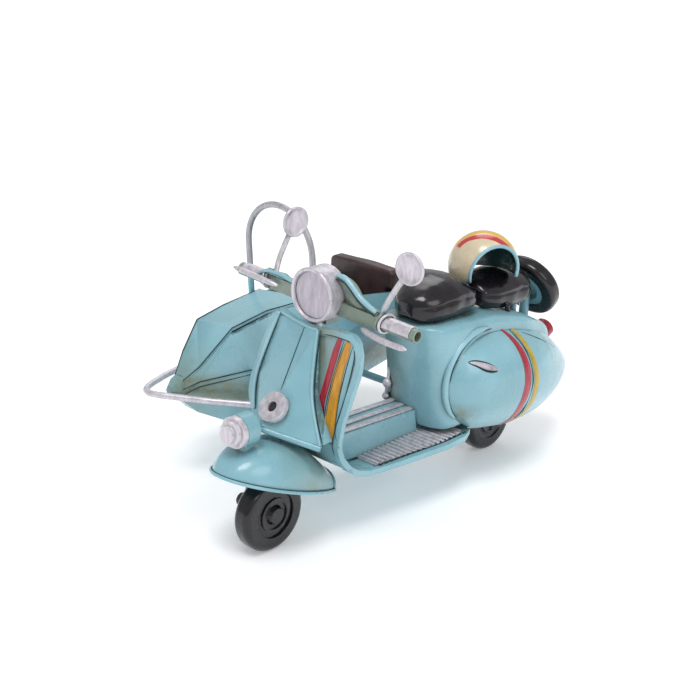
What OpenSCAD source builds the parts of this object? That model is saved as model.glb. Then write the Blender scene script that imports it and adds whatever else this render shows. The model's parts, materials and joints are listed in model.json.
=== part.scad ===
// Handmade tin scooter with a sidecar. Millimetres, +Z up.
// The scooter looks along -Y, its left side is +X, and the sidecar stands on its right at -X.

/* [Wheels] */
// Radius of the three road tyres
wheel_r = 9.4; // [9:0.1:9.6]
// Width of the three road tyres
tyre_w = 5; // [4.4:0.1:5.2]
// Radius of the wheel discs inside the tyres
disc_r = 5.8; // [5:0.1:6.2]
// Radius of the wire axles
axle_r = 0.8; // [0.7:0.05:0.9]
// Distance from the front axle to the rear axle
wheelbase = 84; // [83:0.5:85]
// Distance of the scooter's two wheels to the left of its middle plane
wheel_x = 1; // [0.6:0.1:1.2]
// Distance of the sidecar wheel from the scooter's middle plane
track = 58; // [57.8:0.1:58.4]
// Distance of the sidecar wheel behind the front axle
side_wheel_y = 66; // [64:0.5:68]

/* [Steering] */
// Lean of the steering column
rake = 20.5; // [20:0.1:21]
// Radius of the steering column wire
column_r = 1.5; // [1.3:0.05:1.6]
// Outer radius of the tube that the column turns in
head_tube_r = 2.5; // [2.3:0.1:2.6]
// Height of the handlebar's middle
bar_z = 57.6; // [57:0.1:58]
// Droop of the handlebar towards the left
bar_tilt = 3; // [2:0.5:3.5]
// Length of each half of the handlebar, to the end of its tube
bar_reach = 28.6; // [28:0.1:29]
// Outer radius of the handlebar's end tubes
bar_tube_r = 1.6; // [1.5:0.05:1.7]
// Radius of the open hole in each end tube
bar_hole_r = 1.15; // [1:0.05:1.2]

/* [Sheet metal] */
// Thickness of the leg shield and floor sheet
sheet_t = 0.8; // [0.6:0.1:1]
// Thickness of the edge band round the leg shield and floor
rim_t = 1.5; // [1.2:0.1:1.6]
// Width of the edge band
rim_w = 1.6; // [1.3:0.1:1.8]
// Thickness of the body, fender and sidecar shells
shell_t = 0.9; // [0.8:0.05:1]
// Height of the middle of the floor sheet
floor_z = 15.8; // [15.6:0.1:16]

/* [Wire and trim] */
// Radius of the bright bumper and windscreen wires
wire_r = 0.85; // [0.75:0.05:0.95]
// Radius of the mirror stems
stem_r = 0.7; // [0.6:0.05:0.8]
// Radius of the round mirrors
mirror_r = 3.8; // [3.4:0.1:4.2]
// Radius of the headlight
headlight_r = 6.5; // [6.2:0.1:6.8]
// Number of ribs across the floor mat
mat_ribs = 19; // [12:1:22]

/* [Hidden] */

$fn = 48;

aqua = "#8FC9CF";
deep_aqua = "#6FA9B0";
silver = "#C4C2C8";
dark_metal = "#55575B";
black = "#1B1A1D";
brown = "#3A2426";
cream = "#E6DCB4";
lens_grey = "#B9B2BC";
red = "#A8182C";

// Middle of the whole model's outline, at its default sizes, in the scooter's own coordinates
middle = [-15.337, 49.256, 0];
// Radial play between a turning wheel or column and what it turns on
run_gap = 0.05;
// Play between neighbouring parts that turn past each other
side_gap = 0.35;
// Overshoot of a cutting shape past the face that it cuts
cut = 1;

// Outline helpers

// Points along an arc
function arc(c, r, a0, a1, n) = [for (i = [0:n])
    let (a = a0 + (a1 - a0) * i / n) [c[0] + r * cos(a), c[1] + r * sin(a)]];

function unit(v) = v / norm(v);

function left_of(v) = [-v[1], v[0]];

// Unit normal of an open path at point i
function path_normal(p, i) = left_of(unit(p[min(i + 1, len(p) - 1)] - p[max(i - 1, 0)]));

// Closed outline of a sheet of thickness t that follows an open path
function sheet_outline(p, t) = concat(
    [for (i = [0:len(p) - 1]) p[i] + path_normal(p, i) * t / 2],
    [for (i = [len(p) - 1:-1:0]) p[i] - path_normal(p, i) * t / 2]);

// A closed outline, listed anticlockwise, moved inwards by d
function inset(p, d) = [for (i = [0:len(p) - 1]) let (
    n = len(p),
    a = left_of(unit(p[i] - p[(i + n - 1) % n])),
    b = left_of(unit(p[(i + 1) % n] - p[i])))
    p[i] + (a + b) * d / (1 + a * b)];

// A ring across the Y axis with a flat base and a rounded arch above; power under 1 squares the shoulders
function arch(y, half_w, z0, h, power = 0.8, steps = 18) = [for (i = [0:steps])
    let (a = 180 * i / steps, c = cos(a))
    [half_w * sign(c) * pow(abs(c), power), y, z0 + h * pow(max(sin(a), 0), power)]];

// Solid through a row of rings, each anticlockwise seen from the first ring's side
module loft(rings) {
    n = len(rings[0]);
    m = len(rings);
    points = [for (r = rings) each r];
    sides = [for (j = [0:m - 2], i = [0:n - 1])
        let (a = j * n + i, b = j * n + (i + 1) % n)
        each [[a, b + n, a + n], [a, b, b + n]]];
    front = [for (i = [n - 1:-1:0]) i];
    back = [for (i = [0:n - 1]) (m - 1) * n + i];
    polyhedron(points, concat([front], sides, [back]), convexity = 8);
}

// Prism across X from an outline in Y and Z
module across(outline, x0, x1) {
    translate([x0, 0, 0]) rotate([90, 0, 90]) linear_extrude(x1 - x0) polygon(outline);
}

// Prism along Y from an outline in X and Z
module along(outline, y0, y1) {
    translate([0, y1, 0]) rotate([90, 0, 0]) linear_extrude(y1 - y0) polygon(outline);
}

// Cylinder along X
module rod_x(x0, x1, y, z, r) {
    translate([x0, y, z]) rotate([0, 90, 0]) cylinder(h = x1 - x0, r = r);
}

// Cylinder along Y
module rod_y(y0, y1, x, z, r) {
    translate([x, y1, z]) rotate([90, 0, 0]) cylinder(h = y1 - y0, r = r);
}

// Straight round bar between two points
module bar(a, b, r) {
    v = b - a;
    translate(a)
        rotate([0, acos(v[2] / norm(v)), atan2(v[1], v[0])])
            cylinder(h = norm(v), r = r);
}

// A path with each of its corners rounded, starting d away from the corner
function rounded(p, d, n = 5) = concat([p[0]],
    [for (i = [1:len(p) - 2])
        let (from = p[i] + unit(p[i - 1] - p[i]) * min(d, norm(p[i - 1] - p[i]) * 0.45),
            to = p[i] + unit(p[i + 1] - p[i]) * min(d, norm(p[i + 1] - p[i]) * 0.45))
        for (k = [0:n]) let (s = k / n) from * pow(1 - s, 2) + 2 * p[i] * s * (1 - s) + to * pow(s, 2)],
    [p[len(p) - 1]]);

// Direction of a path at its point i
function along_path(p, i) = unit(p[min(i + 1, len(p) - 1)] - p[max(i - 1, 0)]);

// Round section of a wire about point i; ref is any direction that the wire never runs along
function wire_ring(p, i, r, ref, n = 20) =
    let (t = along_path(p, i), u = unit(cross(ref, t)), v = cross(t, u))
    [for (k = [0:n - 1]) p[i] + r * (cos(360 * k / n) * u - sin(360 * k / n) * v)];

// Bent round wire through a row of points
module wire(points, r, ref, bend = 2) {
    path = len(points) > 2 ? rounded(points, bend) : points;
    loft([for (i = [0:len(path) - 1]) wire_ring(path, i, r, ref)]);
}

// Moves the scooter's coordinates to the model's own middle
module place() translate(-middle) children();

// Coordinates of the steering column: origin at the front axle, Z up the column
module on_column() translate([0, 0, wheel_r]) rotate([-rake, 0, 0]) children();

// Where the handlebar crosses the steering column
bar_y = (bar_z - wheel_r) * tan(rake) + 0.9;

// Coordinates of the handlebar: origin at its middle, X along it to the left
module on_bar() translate([0, bar_y, bar_z]) rotate([0, bar_tilt, 0]) children();

// Wheels

// Tyre section, from its inner radius outwards, with rounded shoulders
function tyre_profile(r_in, r_out, w, round_r = 1.6) = concat(
    [[r_in, -w / 2]],
    arc([r_out - round_r, -w / 2 + round_r], round_r, -90, 0, 8),
    arc([r_out - round_r, w / 2 - round_r], round_r, 0, 90, 8),
    [[r_in, w / 2]]);

module tyre_ring(r_in, r_out, w) {
    rotate([0, 90, 0]) rotate_extrude($fn = 72) polygon(tyre_profile(r_in, r_out, w));
}

// Wheel disc with a raised cap on its +X face; the axle hole starts at the -X face
module wheel_disc(through = false) {
    cap_r = 2.5;
    ridge_r = 4.3;
    face = disc_face;
    bore_end = through ? face + cap_h + cut : face - 0.6;
    rotate([0, 90, 0]) difference() {
        union() {
            translate([0, 0, -face]) cylinder(h = 2 * face, r = disc_r);
            translate([0, 0, face]) cylinder(h = cap_h, r1 = cap_r, r2 = cap_r - 0.6);
            translate([0, 0, face]) difference() {
                cylinder(h = 0.5, r = ridge_r);
                translate([0, 0, -cut]) cylinder(h = 3 * cut, r = ridge_r - 0.7);
            }
        }
        translate([0, 0, -face - cut]) cylinder(h = face + cut + bore_end, r = axle_r + run_gap);
    }
}

// Tyre and disc in one piece, for the wheels that are half hidden
module whole_wheel(through) {
    tyre_ring(disc_r, wheel_r, tyre_w);
    wheel_disc(through);
}

// Half the thickness of a wheel disc, which is set back from the tyre's sides
disc_face = tyre_w / 2 - 0.5;
// Height of the raised cap on a wheel disc
cap_h = 1.2;
// End of a blind axle inside its disc, from the wheel's middle
axle_tip = disc_face - 0.8;

module front_tyre() color(black) translate([wheel_x, 0, wheel_r]) tyre_ring(disc_r, wheel_r, tyre_w);

module front_wheel_disc() color(black) translate([wheel_x, 0, wheel_r]) wheel_disc();

module rear_wheel() color(black) translate([wheel_x, wheelbase, wheel_r]) whole_wheel(true);

module side_wheel() {
    color(black) translate([-track, side_wheel_y, wheel_r]) mirror([1, 0, 0]) whole_wheel(false);
}

// Leg shield and floor

// Middle line of the sheet in Y and Z, from the top of the shield to the rear of the floor
shield_path = concat(
    [[13.6, 54.8], [9.9, 33]],
    [for (a = [15:15:75]) [26 - 16.2 * cos(a), 33 - (33 - floor_z) * pow(sin(a), 0.8)]],
    [[26, floor_z], [61, floor_z]]);

// Front view of the shield in X and Z, narrower on the sidecar's side; below the bend it runs out wide
shield_outline = [[-20, 5], [20, 5], [20, 16.7], [13.3, 19.5], [13.6, 26], [15.1, 32], [16.7, 39.5],
    [17.9, 45], [18.5, 50.6], [17.2, 53], [14.5, 54.2], [9.4, 54.2], [3.4, 53.2], [-4, 53.4], [-8.4, 54.8],
    [-10.4, 53.8], [-12.6, 48.5], [-14.2, 43], [-15.8, 36.4], [-15.9, 31], [-14.6, 26.5], [-13.2, 22],
    [-13, 19.5], [-20, 16.7]];

// Plan of the floor in X and Y; in front of the bend it runs out wide
floor_outline = [[-20, 0], [20, 0], [20, 12], [13, 15.5], [13, 25], [14.8, 38], [15.9, 49], [15.7, 56],
    [13.6, 60.5], [-11, 60.5], [-13, 58.5], [-13, 15.5], [-20, 12]];

module sheet(t, shield, floor) {
    intersection() {
        across(sheet_outline(shield_path, t), -24, 24);
        along(shield, -cut, 70);
        linear_extrude(60) polygon(floor);
    }
}

// Distance up the column to the head tube's lower end, and the tube's length
head_tube_low = 24;
head_tube_l = 21;

// Fixed parts are cut away where the head tube runs, and kept clear of the column beyond its ends
module head_tube_space() on_column() {
    translate([0, 0, head_tube_low]) cylinder(h = head_tube_l, r = head_tube_r);
    cylinder(h = 60, r = column_r + side_gap);
}

module leg_shield() {
    color(aqua) difference() {
        sheet(sheet_t, inset(shield_outline, rim_w), inset(floor_outline, rim_w));
        head_tube_space();
    }
}

// The band of thicker metal round the edge
module edge_band() {
    difference() {
        sheet(rim_t, shield_outline, floor_outline);
        intersection() {
            along(inset(shield_outline, rim_w), -2 * cut, 80);
            translate([0, 0, -cut]) linear_extrude(70) polygon(inset(floor_outline, rim_w));
        }
    }
}

module shield_rim() color(aqua) difference() {
    edge_band();
    head_tube_space();
}

// V-folded cover in front of the shield

// Plan of the cover's front surface at three heights, from its right edge over the ridge to its left edge
cover_top = [[-8.8, 12.8, 54.2], [0.2, 12.3, 53], [4.6, 11.8, 53.2]];
cover_mid = [[-12.2, 8.8, 39], [0.1, 4.8, 39], [6.8, 8, 39]];
cover_low = [[-11.6, 7.2, 30], [0, -1.4, 31.6], [12.6, 5, 28.6]];

// Solid between the cover's front surface, moved back by d, and a plane well behind it
module cover_block(d) {
    back = 16;
    rings = [for (row = [cover_low, cover_mid, cover_top])
        concat([for (p = row) p + [0, d, 0]],
            [[row[2][0], back, row[2][2]], [row[0][0], back, row[0][2]]])];
    n = len(rings[0]);
    points = [for (r = rings) each r];
    sides = [for (j = [0:1], i = [0:n - 1])
        let (a = j * n + i, b = j * n + (i + 1) % n)
        each [[a, a + n, b + n], [a, b + n, b]]];
    bottom = [[0, 1, 4], [1, 3, 4], [1, 2, 3]];
    top = [for (f = bottom) [f[1] + 2 * n, f[0] + 2 * n, f[2] + 2 * n]];
    polyhedron(points, concat(bottom, sides, top), convexity = 6);
}

// Space taken by the shield sheet and everything behind it
module behind_shield() {
    lowered = sheet_outline(shield_path, rim_t);
    across(concat([for (i = [0:len(shield_path) - 1]) lowered[len(lowered) - 1 - i]], [[61, 60], [14, 60]]),
        -24, 24);
}

module front_cover() {
    color(aqua) difference() {
        cover_block(0);
        translate([0, 0, -0.01]) cover_block(sheet_t + 0.1);
        behind_shield();
        head_tube_space();
    }
}

module cover_bead() {
    bead_r = 0.8;
    color(aqua) difference() {
        wire([for (p = cover_low) p + [0, 0.3, -bead_r]], bead_r, [0, 0, 1], 1);
        cover_block(0);
        behind_shield();
    }
}

horn = [0.8, 2.2, 35.2];
horn_tilt = 40;

module on_horn() translate(horn) rotate([90 - horn_tilt, 0, 0]) children();

module off_horn() rotate([horn_tilt - 90, 0, 0]) translate(-horn) children();

module horn_ring() color(silver) on_horn() difference() {
    cylinder(h = 1.4, r = 3.7);
    translate([0, 0, 0.5]) cylinder(h = 3, r = 1.3);
    off_horn() cover_block(0);
}

module horn_disc() color(dark_metal) on_horn() translate([0, 0, 0.5]) cylinder(h = 0.3, r = 1.3);

module head_tube() color(deep_aqua) on_column() translate([0, 0, head_tube_low]) difference() {
    cylinder(h = head_tube_l, r = head_tube_r);
    translate([0, 0, -cut]) cylinder(h = head_tube_l + 2 * cut, r = column_r + run_gap);
}

// Floor

floor_top = floor_z + sheet_t / 2;
tunnel_half = 5;
tunnel_front = [16, 24.6];
tunnel_rear = [51.5, 22.6];

// Height of a mat's ribs above the floor sheet
mat_t = 0.9;

// Ribbed tread mat between two side lines
module ribbed_mat(x0, x1, y0, y1, ribs) {
    rib_r = 0.5;
    base = mat_t - rib_r;
    pitch = (y1 - y0) / ribs;
    translate([x0, y0, floor_top]) cube([x1 - x0, y1 - y0, base]);
    for (i = [0:ribs - 1]) difference() {
        rod_x(x0, x1, y0 + (i + 0.5) * pitch, floor_top + base, rib_r);
        translate([x0 - cut, y0 - cut, floor_top - 2]) cube([x1 - x0 + 2 * cut, y1 - y0 + 2 * cut, 2]);
    }
}

mat_front = 26.2;
mat_rear = 58;

// Keeps a mat inside the edge band
module inside_band() {
    intersection() {
        children();
        linear_extrude(60) polygon(inset(floor_outline, rim_w + 0.05));
    }
}

module floor_mat_left() {
    color(silver) inside_band() ribbed_mat(tunnel_half + 0.1, 16, mat_front, mat_rear, mat_ribs);
}

module floor_mat_right() {
    color(brown) inside_band() ribbed_mat(-13, -tunnel_half - 0.1, mat_front, mat_rear, mat_ribs);
}

// Outline of the tunnel in Y and Z, lowered by t and run past its open base and rear by over
function tunnel_side(t, over) = [[10, floor_top - over], [tunnel_rear[0] + over, floor_top - over],
    [tunnel_rear[0] + over, tunnel_rear[1] - t], [10, tunnel_front[1] - t]];

module in_front_of_floor() {
    outline = sheet_outline(shield_path, rim_t);
    n = len(shield_path);
    across(concat([[61, 0], [-5, 0], [-5, 60], [14, 60]], [for (i = [0:n - 1]) outline[i]]), -24, 24);
}

module tunnel() {
    color(aqua) difference() {
        across(tunnel_side(0, 0), -tunnel_half, tunnel_half);
        across(tunnel_side(sheet_t, cut), -tunnel_half + sheet_t, tunnel_half - sheet_t);
        in_front_of_floor();
        head_tube_space();
        body_solid(0);
    }
}

// Three bright strips along the top of the tunnel
module tunnel_strips() {
    strip_h = 0.5;
    slope = atan2(tunnel_front[1] - tunnel_rear[1], tunnel_rear[0] - 10);
    color(silver) difference() {
        for (x = [3.6, 0.4, -3.2]) translate([x - 0.8, 10, tunnel_front[1]]) rotate([-slope, 0, 0])
            cube([1.6, tunnel_rear[0] - 10.4, strip_h]);
        in_front_of_floor();
        head_tube_space();
        body_solid(0);
    }
}

// Rear body

body_plan = [[-9.5, 56], [-8.4, 52.8], [-5, 50.4], [0, 49.2], [5, 48.9], [9.5, 49.6], [12.4, 51.8],
    [13.2, 56], [13.2, 84], [10.5, 98], [5.5, 106.4], [-4.5, 106.4], [-8.4, 99], [-9.5, 86]];
body_bottom = 17.2;
body_lean = 4;

// Top line of the body in Y and Z
body_top = [[40, 47.2], [58, 46.6], [72, 45], [86, 41.8], [97, 36.6], [104, 31], [109, 25]];

// Plan of the body at height z; its front face leans forwards towards the top
function body_ring(z, d) = [for (p = inset(body_plan, d))
    [p[0], p[1] - body_lean * max(z - body_bottom, 0) / 30 * min(max((66 - p[1]) / 16, 0), 1), z]];

// The body as a solid, moved inwards by d
module body_solid(d) {
    low = d > 0 ? body_bottom - 2 : body_bottom;
    n = len(body_plan);
    points = concat(body_ring(low, d), body_ring(50, d));
    sides = [for (i = [0:n - 1]) let (b = (i + 1) % n) each [[i, i + n, b + n], [i, b + n, b]]];
    intersection() {
        polyhedron(points, concat([[for (i = [0:n - 1]) i]], sides, [[for (i = [n - 1:-1:0]) n + i]]),
            convexity = 4);
        across(concat([[109, 5], [40, 5]], [for (p = body_top) p - [0, d]]), -24, 24);
    }
}

module rear_body() {
    color(aqua) difference() {
        body_solid(0);
        body_solid(shell_t);
        edge_band();
    }
}

// Engine cowl: a blunt-nosed teardrop

cowl_r = 15;
cowl_l = 66;
cowl_wide = 24;

// Radius of the cowl at distance s from its nose
function cowl_radius(s, r) = s < cowl_wide
    ? r * pow(max(1 - pow((cowl_wide - s) / cowl_wide, 2.8), 0), 0.5)
    : r * pow(cos(90 * pow((s - cowl_wide) / (cowl_l - cowl_wide), 1.15)), 0.9);

function cowl_profile(r, steps = 28) = [for (i = [0:steps])
    let (s = cowl_l * (1 - cos(180 * i / steps)) / 2) [cowl_radius(s, r), s]];

// The cowl as a solid of revolution, scaled about its widest place
module cowl_solid(r) {
    k = r / cowl_r;
    translate([6.2, 49.4, 31.8]) rotate([-101, 0, 0]) translate([0, 0, cowl_wide * (1 - k)]) scale(k)
        rotate_extrude($fn = 64)
            polygon(concat([[0, 0]], [for (p = cowl_profile(cowl_r)) p], [[0, cowl_l]]));
}

module left_cowl() {
    color(aqua) difference() {
        cowl_solid(cowl_r);
        cowl_solid(cowl_r - shell_t);
        translate([-40, 0, 0]) cube([46.6, 200, 100]);
        body_solid(0);
        sheet(mat_t * 2 + sheet_t, inset(shield_outline, -0.1), inset(floor_outline, -0.1));
    }
}

// Plain cover on the sidecar's side of the body
module right_panel() {
    plate = [[60, 21], [92, 21], [96, 25], [94, 32], [84, 37.5], [64, 39], [60, 36]];
    color(aqua) across(plate, -10.3, -9.5);
    color(aqua) across(inset(plate, 3), -10.9, -10.3);
}

// Plain oval ornament on the cowl
module cowl_badge() {
    color(silver) difference() {
        translate([17.1, 57.8, 35.5]) rotate([0, 66, -36]) hull() {
            for (y = [-3, 3]) translate([0, y, 0]) cylinder(h = 2, r = 0.5, $fn = 24);
            cylinder(h = 2.2, r = 1.1, $fn = 24);
        }
        cowl_solid(cowl_r);
    }
}

module tail_light() {
    color(red) difference() {
        translate([2.4, 104, 28.6]) rotate([-66, 0, 0]) {
            cylinder(h = 5, r = 2.8);
            translate([0, 0, 5]) cylinder(h = 0.8, r1 = 2.8, r2 = 1.9);
        }
        body_solid(0);
        cowl_solid(cowl_r);
    }
}

// Distance from a wheel's middle to the plate that carries its axle
bracket_x = disc_face + cap_h + side_gap;
bracket_t = 1;
// Radius of an axle's head and of the collars on it
head_r = 1.6;

// Two plates inside the body that carry the rear axle
module rear_brackets() {
    plate = [[wheelbase - 2.4, wheel_r - 2.4], [wheelbase + 2.4, wheel_r - 2.4], [wheelbase + 4.4, 50],
        [wheelbase - 4.4, 50]];
    color(dark_metal) difference() {
        for (x = [wheel_x - bracket_x - bracket_t, wheel_x + bracket_x]) intersection() {
            across(plate, x, x + bracket_t);
            union() {
                body_solid(shell_t);
                translate([-20, 60, 0]) cube([40, 50, 16]);
            }
        }
        rod_x(-12, 12, wheelbase, wheel_r, axle_r);
    }
}

module rear_axle() {
    x0 = wheel_x - bracket_x - bracket_t;
    x1 = wheel_x + bracket_x + bracket_t;
    color(dark_metal) {
        rod_x(x0 - 1, x1 + 0.8, wheelbase, wheel_r, axle_r);
        rod_x(x0 - 1.2, x0, wheelbase, wheel_r, head_r);
        rod_x(x1, x1 + 0.9, wheelbase, wheel_r, head_r);
    }
}

// Two small bright controls on the front face of the body
module body_knobs() {
    color(silver) difference() {
        union() {
            rod_y(48.6, 54, -5.2, 27.2, 0.8);
            translate([-5.2, 48.6, 27.2]) sphere(r = 1.3);
            rod_y(49.3, 54, -6.1, 23.1, 0.8);
            translate([-6.1, 49.3, 23.1]) sphere(r = 1.05);
        }
        body_solid(0);
    }
}

// Seats

module front_saddle() {
    // Each section's middle in X, place along Y, half-width, underside and height
    sections = [[3, 44.2, 2.6, 49, 4.2], [3, 46.6, 5, 48, 7], [2.4, 50, 7.4, 47.5, 8.8],
        [1.4, 53.5, 9, 47.4, 9.6], [0.8, 57.5, 9.8, 47.4, 10], [0.3, 62, 10, 47.4, 9.2],
        [0, 66, 9.2, 47.6, 6.8], [0, 68.6, 6.4, 48.2, 4.3]];
    color(black) loft([for (s = sections)
        [for (p = arch(s[1], s[2], s[3], s[4], 0.72)) p + [s[0], 0, 0]]]);
}

module saddle_post() {
    color(dark_metal) difference() {
        translate([-3, 52, 40]) cube([6, 12, 7.4]);
        body_solid(0);
    }
}

module pillion_saddle() {
    sections = [[71, 5.4, 46.6, 4.8], [72.6, 7.6, 45.6, 6.9], [78, 8.4, 44.4, 8.2], [87, 8.4, 43.6, 9.04],
        [92, 7.8, 44.4, 6.8], [94.6, 5.6, 45.6, 4]];
    color(black) loft([for (s = sections) arch(s[0], s[1], s[2], s[3], 0.6)]);
}

module pillion_posts() {
    color(aqua) difference() {
        union() {
            for (x = [-5, 5], y = [75, 88]) translate([x, y, 36]) cylinder(h = 14, r = 1);
            translate([-1, 69.4, 44]) cube([2, 1.2, 5.6]);
        }
        body_solid(0);
        pillion_block();
    }
}

// Everything above the underside of the pillion saddle
module pillion_block() {
    across([[70.9, 46.6], [72.6, 45.6], [78, 44.4], [87, 43.6], [92, 44.4], [96, 45.6], [96, 60], [70.9, 60]],
        -12, 12);
}

helmet = [2, 77.3, 55];
helmet_r = 9.4;
helmet_t = 0.8;
helmet_turn = -20;
helmet_mouth_r = 7.4;
// Distance of the helmet's edge below its middle
helmet_edge = 2.38;

// Open-faced helmet lying on the pillion saddle
module helmet() {
    color(cream) translate(helmet) difference() {
        sphere(r = helmet_r, $fn = 64);
        sphere(r = helmet_r - helmet_t, $fn = 64);
        translate([-20, -20, -20 - helmet_edge]) cube([40, 40, 20]);
        rotate([0, 0, helmet_turn]) translate([0, 0, -0.6]) rotate([0, 90, 0])
            cylinder(h = 12, r = helmet_mouth_r);
    }
}

// Spare wheel on the tail

spare = [1, 100.6, 44.6];
spare_lean = 28;
spare_r = 9.4;
spare_w = 4.6;

module on_spare() translate(spare) rotate([-90 + spare_lean, 0, 0]) children();

module spare_tyre_solid() on_spare() rotate_extrude($fn = 72)
    polygon(tyre_profile(disc_r, spare_r, spare_w, 1.6));

module spare_tyre() color(black) spare_tyre_solid();

// Dished disc, with its hollow side to the front
module spare_disc_solid() on_spare() difference() {
    translate([0, 0, -spare_w / 2 + 0.4]) cylinder(h = spare_w - 0.8, r = disc_r);
    translate([0, 0, -spare_w / 2 - cut]) cylinder(h = 2.4, r1 = disc_r - 0.6, r2 = disc_r - 2.6);
}

module spare_disc() color(aqua) spare_disc_solid();

// Post from the tail to the middle of the spare wheel
module spare_carrier() {
    color(aqua) difference() {
        bar([1, 98.9, 30], [1, 99.3, 43.4], 1.4);
        body_solid(0);
        spare_tyre_solid();
        spare_disc_solid();
        on_spare() cylinder(h = 20, r = spare_r);
    }
}

// Sidecar

// Full sections of the hull: each one's place along Y, then its outline in X and Z, anticlockwise from the
// front: near bottom, near fold, near top, far top, far fold, far bottom
hull_lines = [
    [9, [[-42.8, 23.2], [-41.4, 25.2], [-42, 26.8], [-44.4, 27], [-45.4, 25], [-44.4, 23.2]]],
    [12.6, [[-38.8, 19], [-38, 27.6], [-38.2, 31.6], [-44.4, 34.6], [-46.6, 27], [-43.6, 19.2]]],
    [20, [[-30.4, 15.8], [-26.6, 32.3], [-33.7, 41.7], [-47.4, 40.6], [-51, 28], [-46, 16]]],
    [30, [[-27.6, 15.4], [-22.8, 33], [-31.4, 44.7], [-48.2, 42.2], [-53.4, 29], [-48.6, 15.4]]],
    [42, [[-27, 15.8], [-22.2, 33], [-27, 46.6], [-46.6, 44.6], [-54, 30], [-49, 15.8]]],
    [75, [[-26.5, 22], [-22.6, 34], [-24, 43], [-49.5, 43], [-53.6, 33], [-48, 22]]],
    [87, [[-31, 27], [-27.5, 34], [-29.5, 39], [-44.5, 39], [-48, 34], [-45, 27]]]];

// The hull's ring k, moved inwards by d, with its top edge raised by lift
function hull_ring(k, d, lift) = let (line = hull_lines[k], flat = inset(line[1], d))
    [for (i = [0:len(flat) - 1]) [flat[i][0], line[0], flat[i][1] + (i == 2 || i == 3 ? lift : 0)]];

module hull_solid() {
    loft([for (k = [0:len(hull_lines) - 1]) hull_ring(k, 0, -sheet_t)]);
}

module hull_cavity() {
    first = [for (p = hull_ring(1, shell_t, 0)) p + [0, 1.4, 0]];
    last = [for (p = hull_ring(6, shell_t, 0)) p - [0, 1.2, 0]];
    loft(concat([first], [for (k = [2:5]) hull_ring(k, shell_t, 0.8)], [last]));
}

module hull_shell() {
    difference() {
        hull_solid();
        hull_cavity();
    }
}

module sidecar_hull() color(aqua) hull_shell();

// Plate on top of the hull from ring a to ring b
module top_plate(a, b) {
    edges = [for (k = [a:b], i = [2, 3]) let (p = hull_lines[k][1][i]) [p[0], hull_lines[k][0], p[1]]];
    n = len(edges);
    above = [for (j = [0:2:n - 4]) each [[j, j + 3, j + 2], [j, j + 1, j + 3]]];
    below = [for (f = above) [f[2] + n, f[1] + n, f[0] + n]];
    near = [for (j = [0:2:n - 4]) [j, j + 2, j + 2 + n, j + n]];
    far = [for (j = [1:2:n - 3]) [j + 2, j, j + n, j + 2 + n]];
    ends = [[1, 0, n, n + 1], [n - 2, n - 1, 2 * n - 1, 2 * n - 2]];
    polyhedron(concat(edges, [for (p = edges) p - [0, 0, sheet_t]]), concat(above, below, near, far, ends),
        convexity = 4);
}

module sidecar_deck() color(aqua) top_plate(0, 4);

module sidecar_tail() color(aqua) top_plate(5, 6);

module nose_cap() {
    color(aqua) difference() {
        loft([[for (p = inset(hull_lines[0][1], 0.5)) [p[0], 7, p[1]]],
            [for (p = inset(hull_lines[0][1], -0.7)) [p[0], 8.6, p[1]]],
            [for (p = inset(hull_lines[1][1], 2.6)) [p[0] - 0.4, 12, p[1]]]]);
        hull_solid();
        top_plate(0, 4);
    }
}

module bumper_wire() {
    color(silver) difference() {
        wire([[-27, 31.6, 23], [-22.2, 29, 23], [-22.2, 20.6, 23.6], [-34, 11, 24.2], [-44.6, 4.4, 24.4],
            [-47.6, 3.4, 24.4], [-50, 4.4, 24.4], [-51.6, 7.4, 24.6], [-53.2, 14, 25], [-54.4, 27, 26],
            [-52, 30, 26]], wire_r, [0, 0, 1], 1.5);
        hull_solid();
    }
}

screen_r = 12;
screen_foot = [-36.4, 40.4, 45];
screen_leg = 13.5;
// Length of each leg below the deck, down to the hull's flank
screen_root = 7;

// Bright wire hoop in front of the passenger
module windscreen_wire() {
    color(silver) difference() {
        translate(screen_foot) rotate([4, 0, 0]) {
            for (x = [-screen_r, screen_r]) translate([x, 0, -screen_root])
                cylinder(h = screen_leg + screen_root, r = wire_r);
            translate([0, 0, screen_leg]) rotate([90, 0, 0])
                rotate_extrude(angle = 180) translate([screen_r, 0]) circle(r = wire_r, $fn = 24);
        }
        hull_solid();
        top_plate(0, 4);
    }
}

// Panel behind the passenger: wide above the hull's edge and narrow inside it
module seat_back() {
    outline = [[-45.6, 24.6], [-26.4, 24.6], [-26.4, 43.3], [-23.8, 43.3], [-23.8, 47.8], [-25, 49],
        [-46.6, 49], [-47.8, 47.8], [-47.8, 43.3], [-45.6, 43.3]];
    color(brown) difference() {
        along(outline, 70.6, 74.6);
        hull_shell();
    }
}

module seat_cushion() {
    color(brown) intersection() {
        hull() for (x = [-44.4, -29.4], y = [50, 69])
            translate([x, y, 18]) cylinder(h = 10, r = 1.2, $fn = 24);
        hull_cavity();
    }
}

side_bracket_x = -track + bracket_x;

// Plate that hangs the sidecar wheel from the hull
module side_wheel_bracket() {
    plate = [[side_wheel_y - 2.2, wheel_r - 2.2], [side_wheel_y + 2.2, wheel_r - 2.2],
        [side_wheel_y + 4.5, 24], [side_wheel_y - 4.5, 24]];
    color(dark_metal) difference() {
        union() {
            across(plate, side_bracket_x, side_bracket_x + bracket_t);
            translate([side_bracket_x, side_wheel_y - 4, 22]) cube([6, 8, 1.2]);
        }
        hull_solid();
        rod_x(-track, -track + 9, side_wheel_y, wheel_r, axle_r);
    }
}

module side_axle() {
    x1 = side_bracket_x + bracket_t;
    color(dark_metal) {
        rod_x(-track - axle_tip, x1 + 1, side_wheel_y, wheel_r, axle_r);
        rod_x(x1, x1 + 1.2, side_wheel_y, wheel_r, head_r);
    }
}

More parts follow.
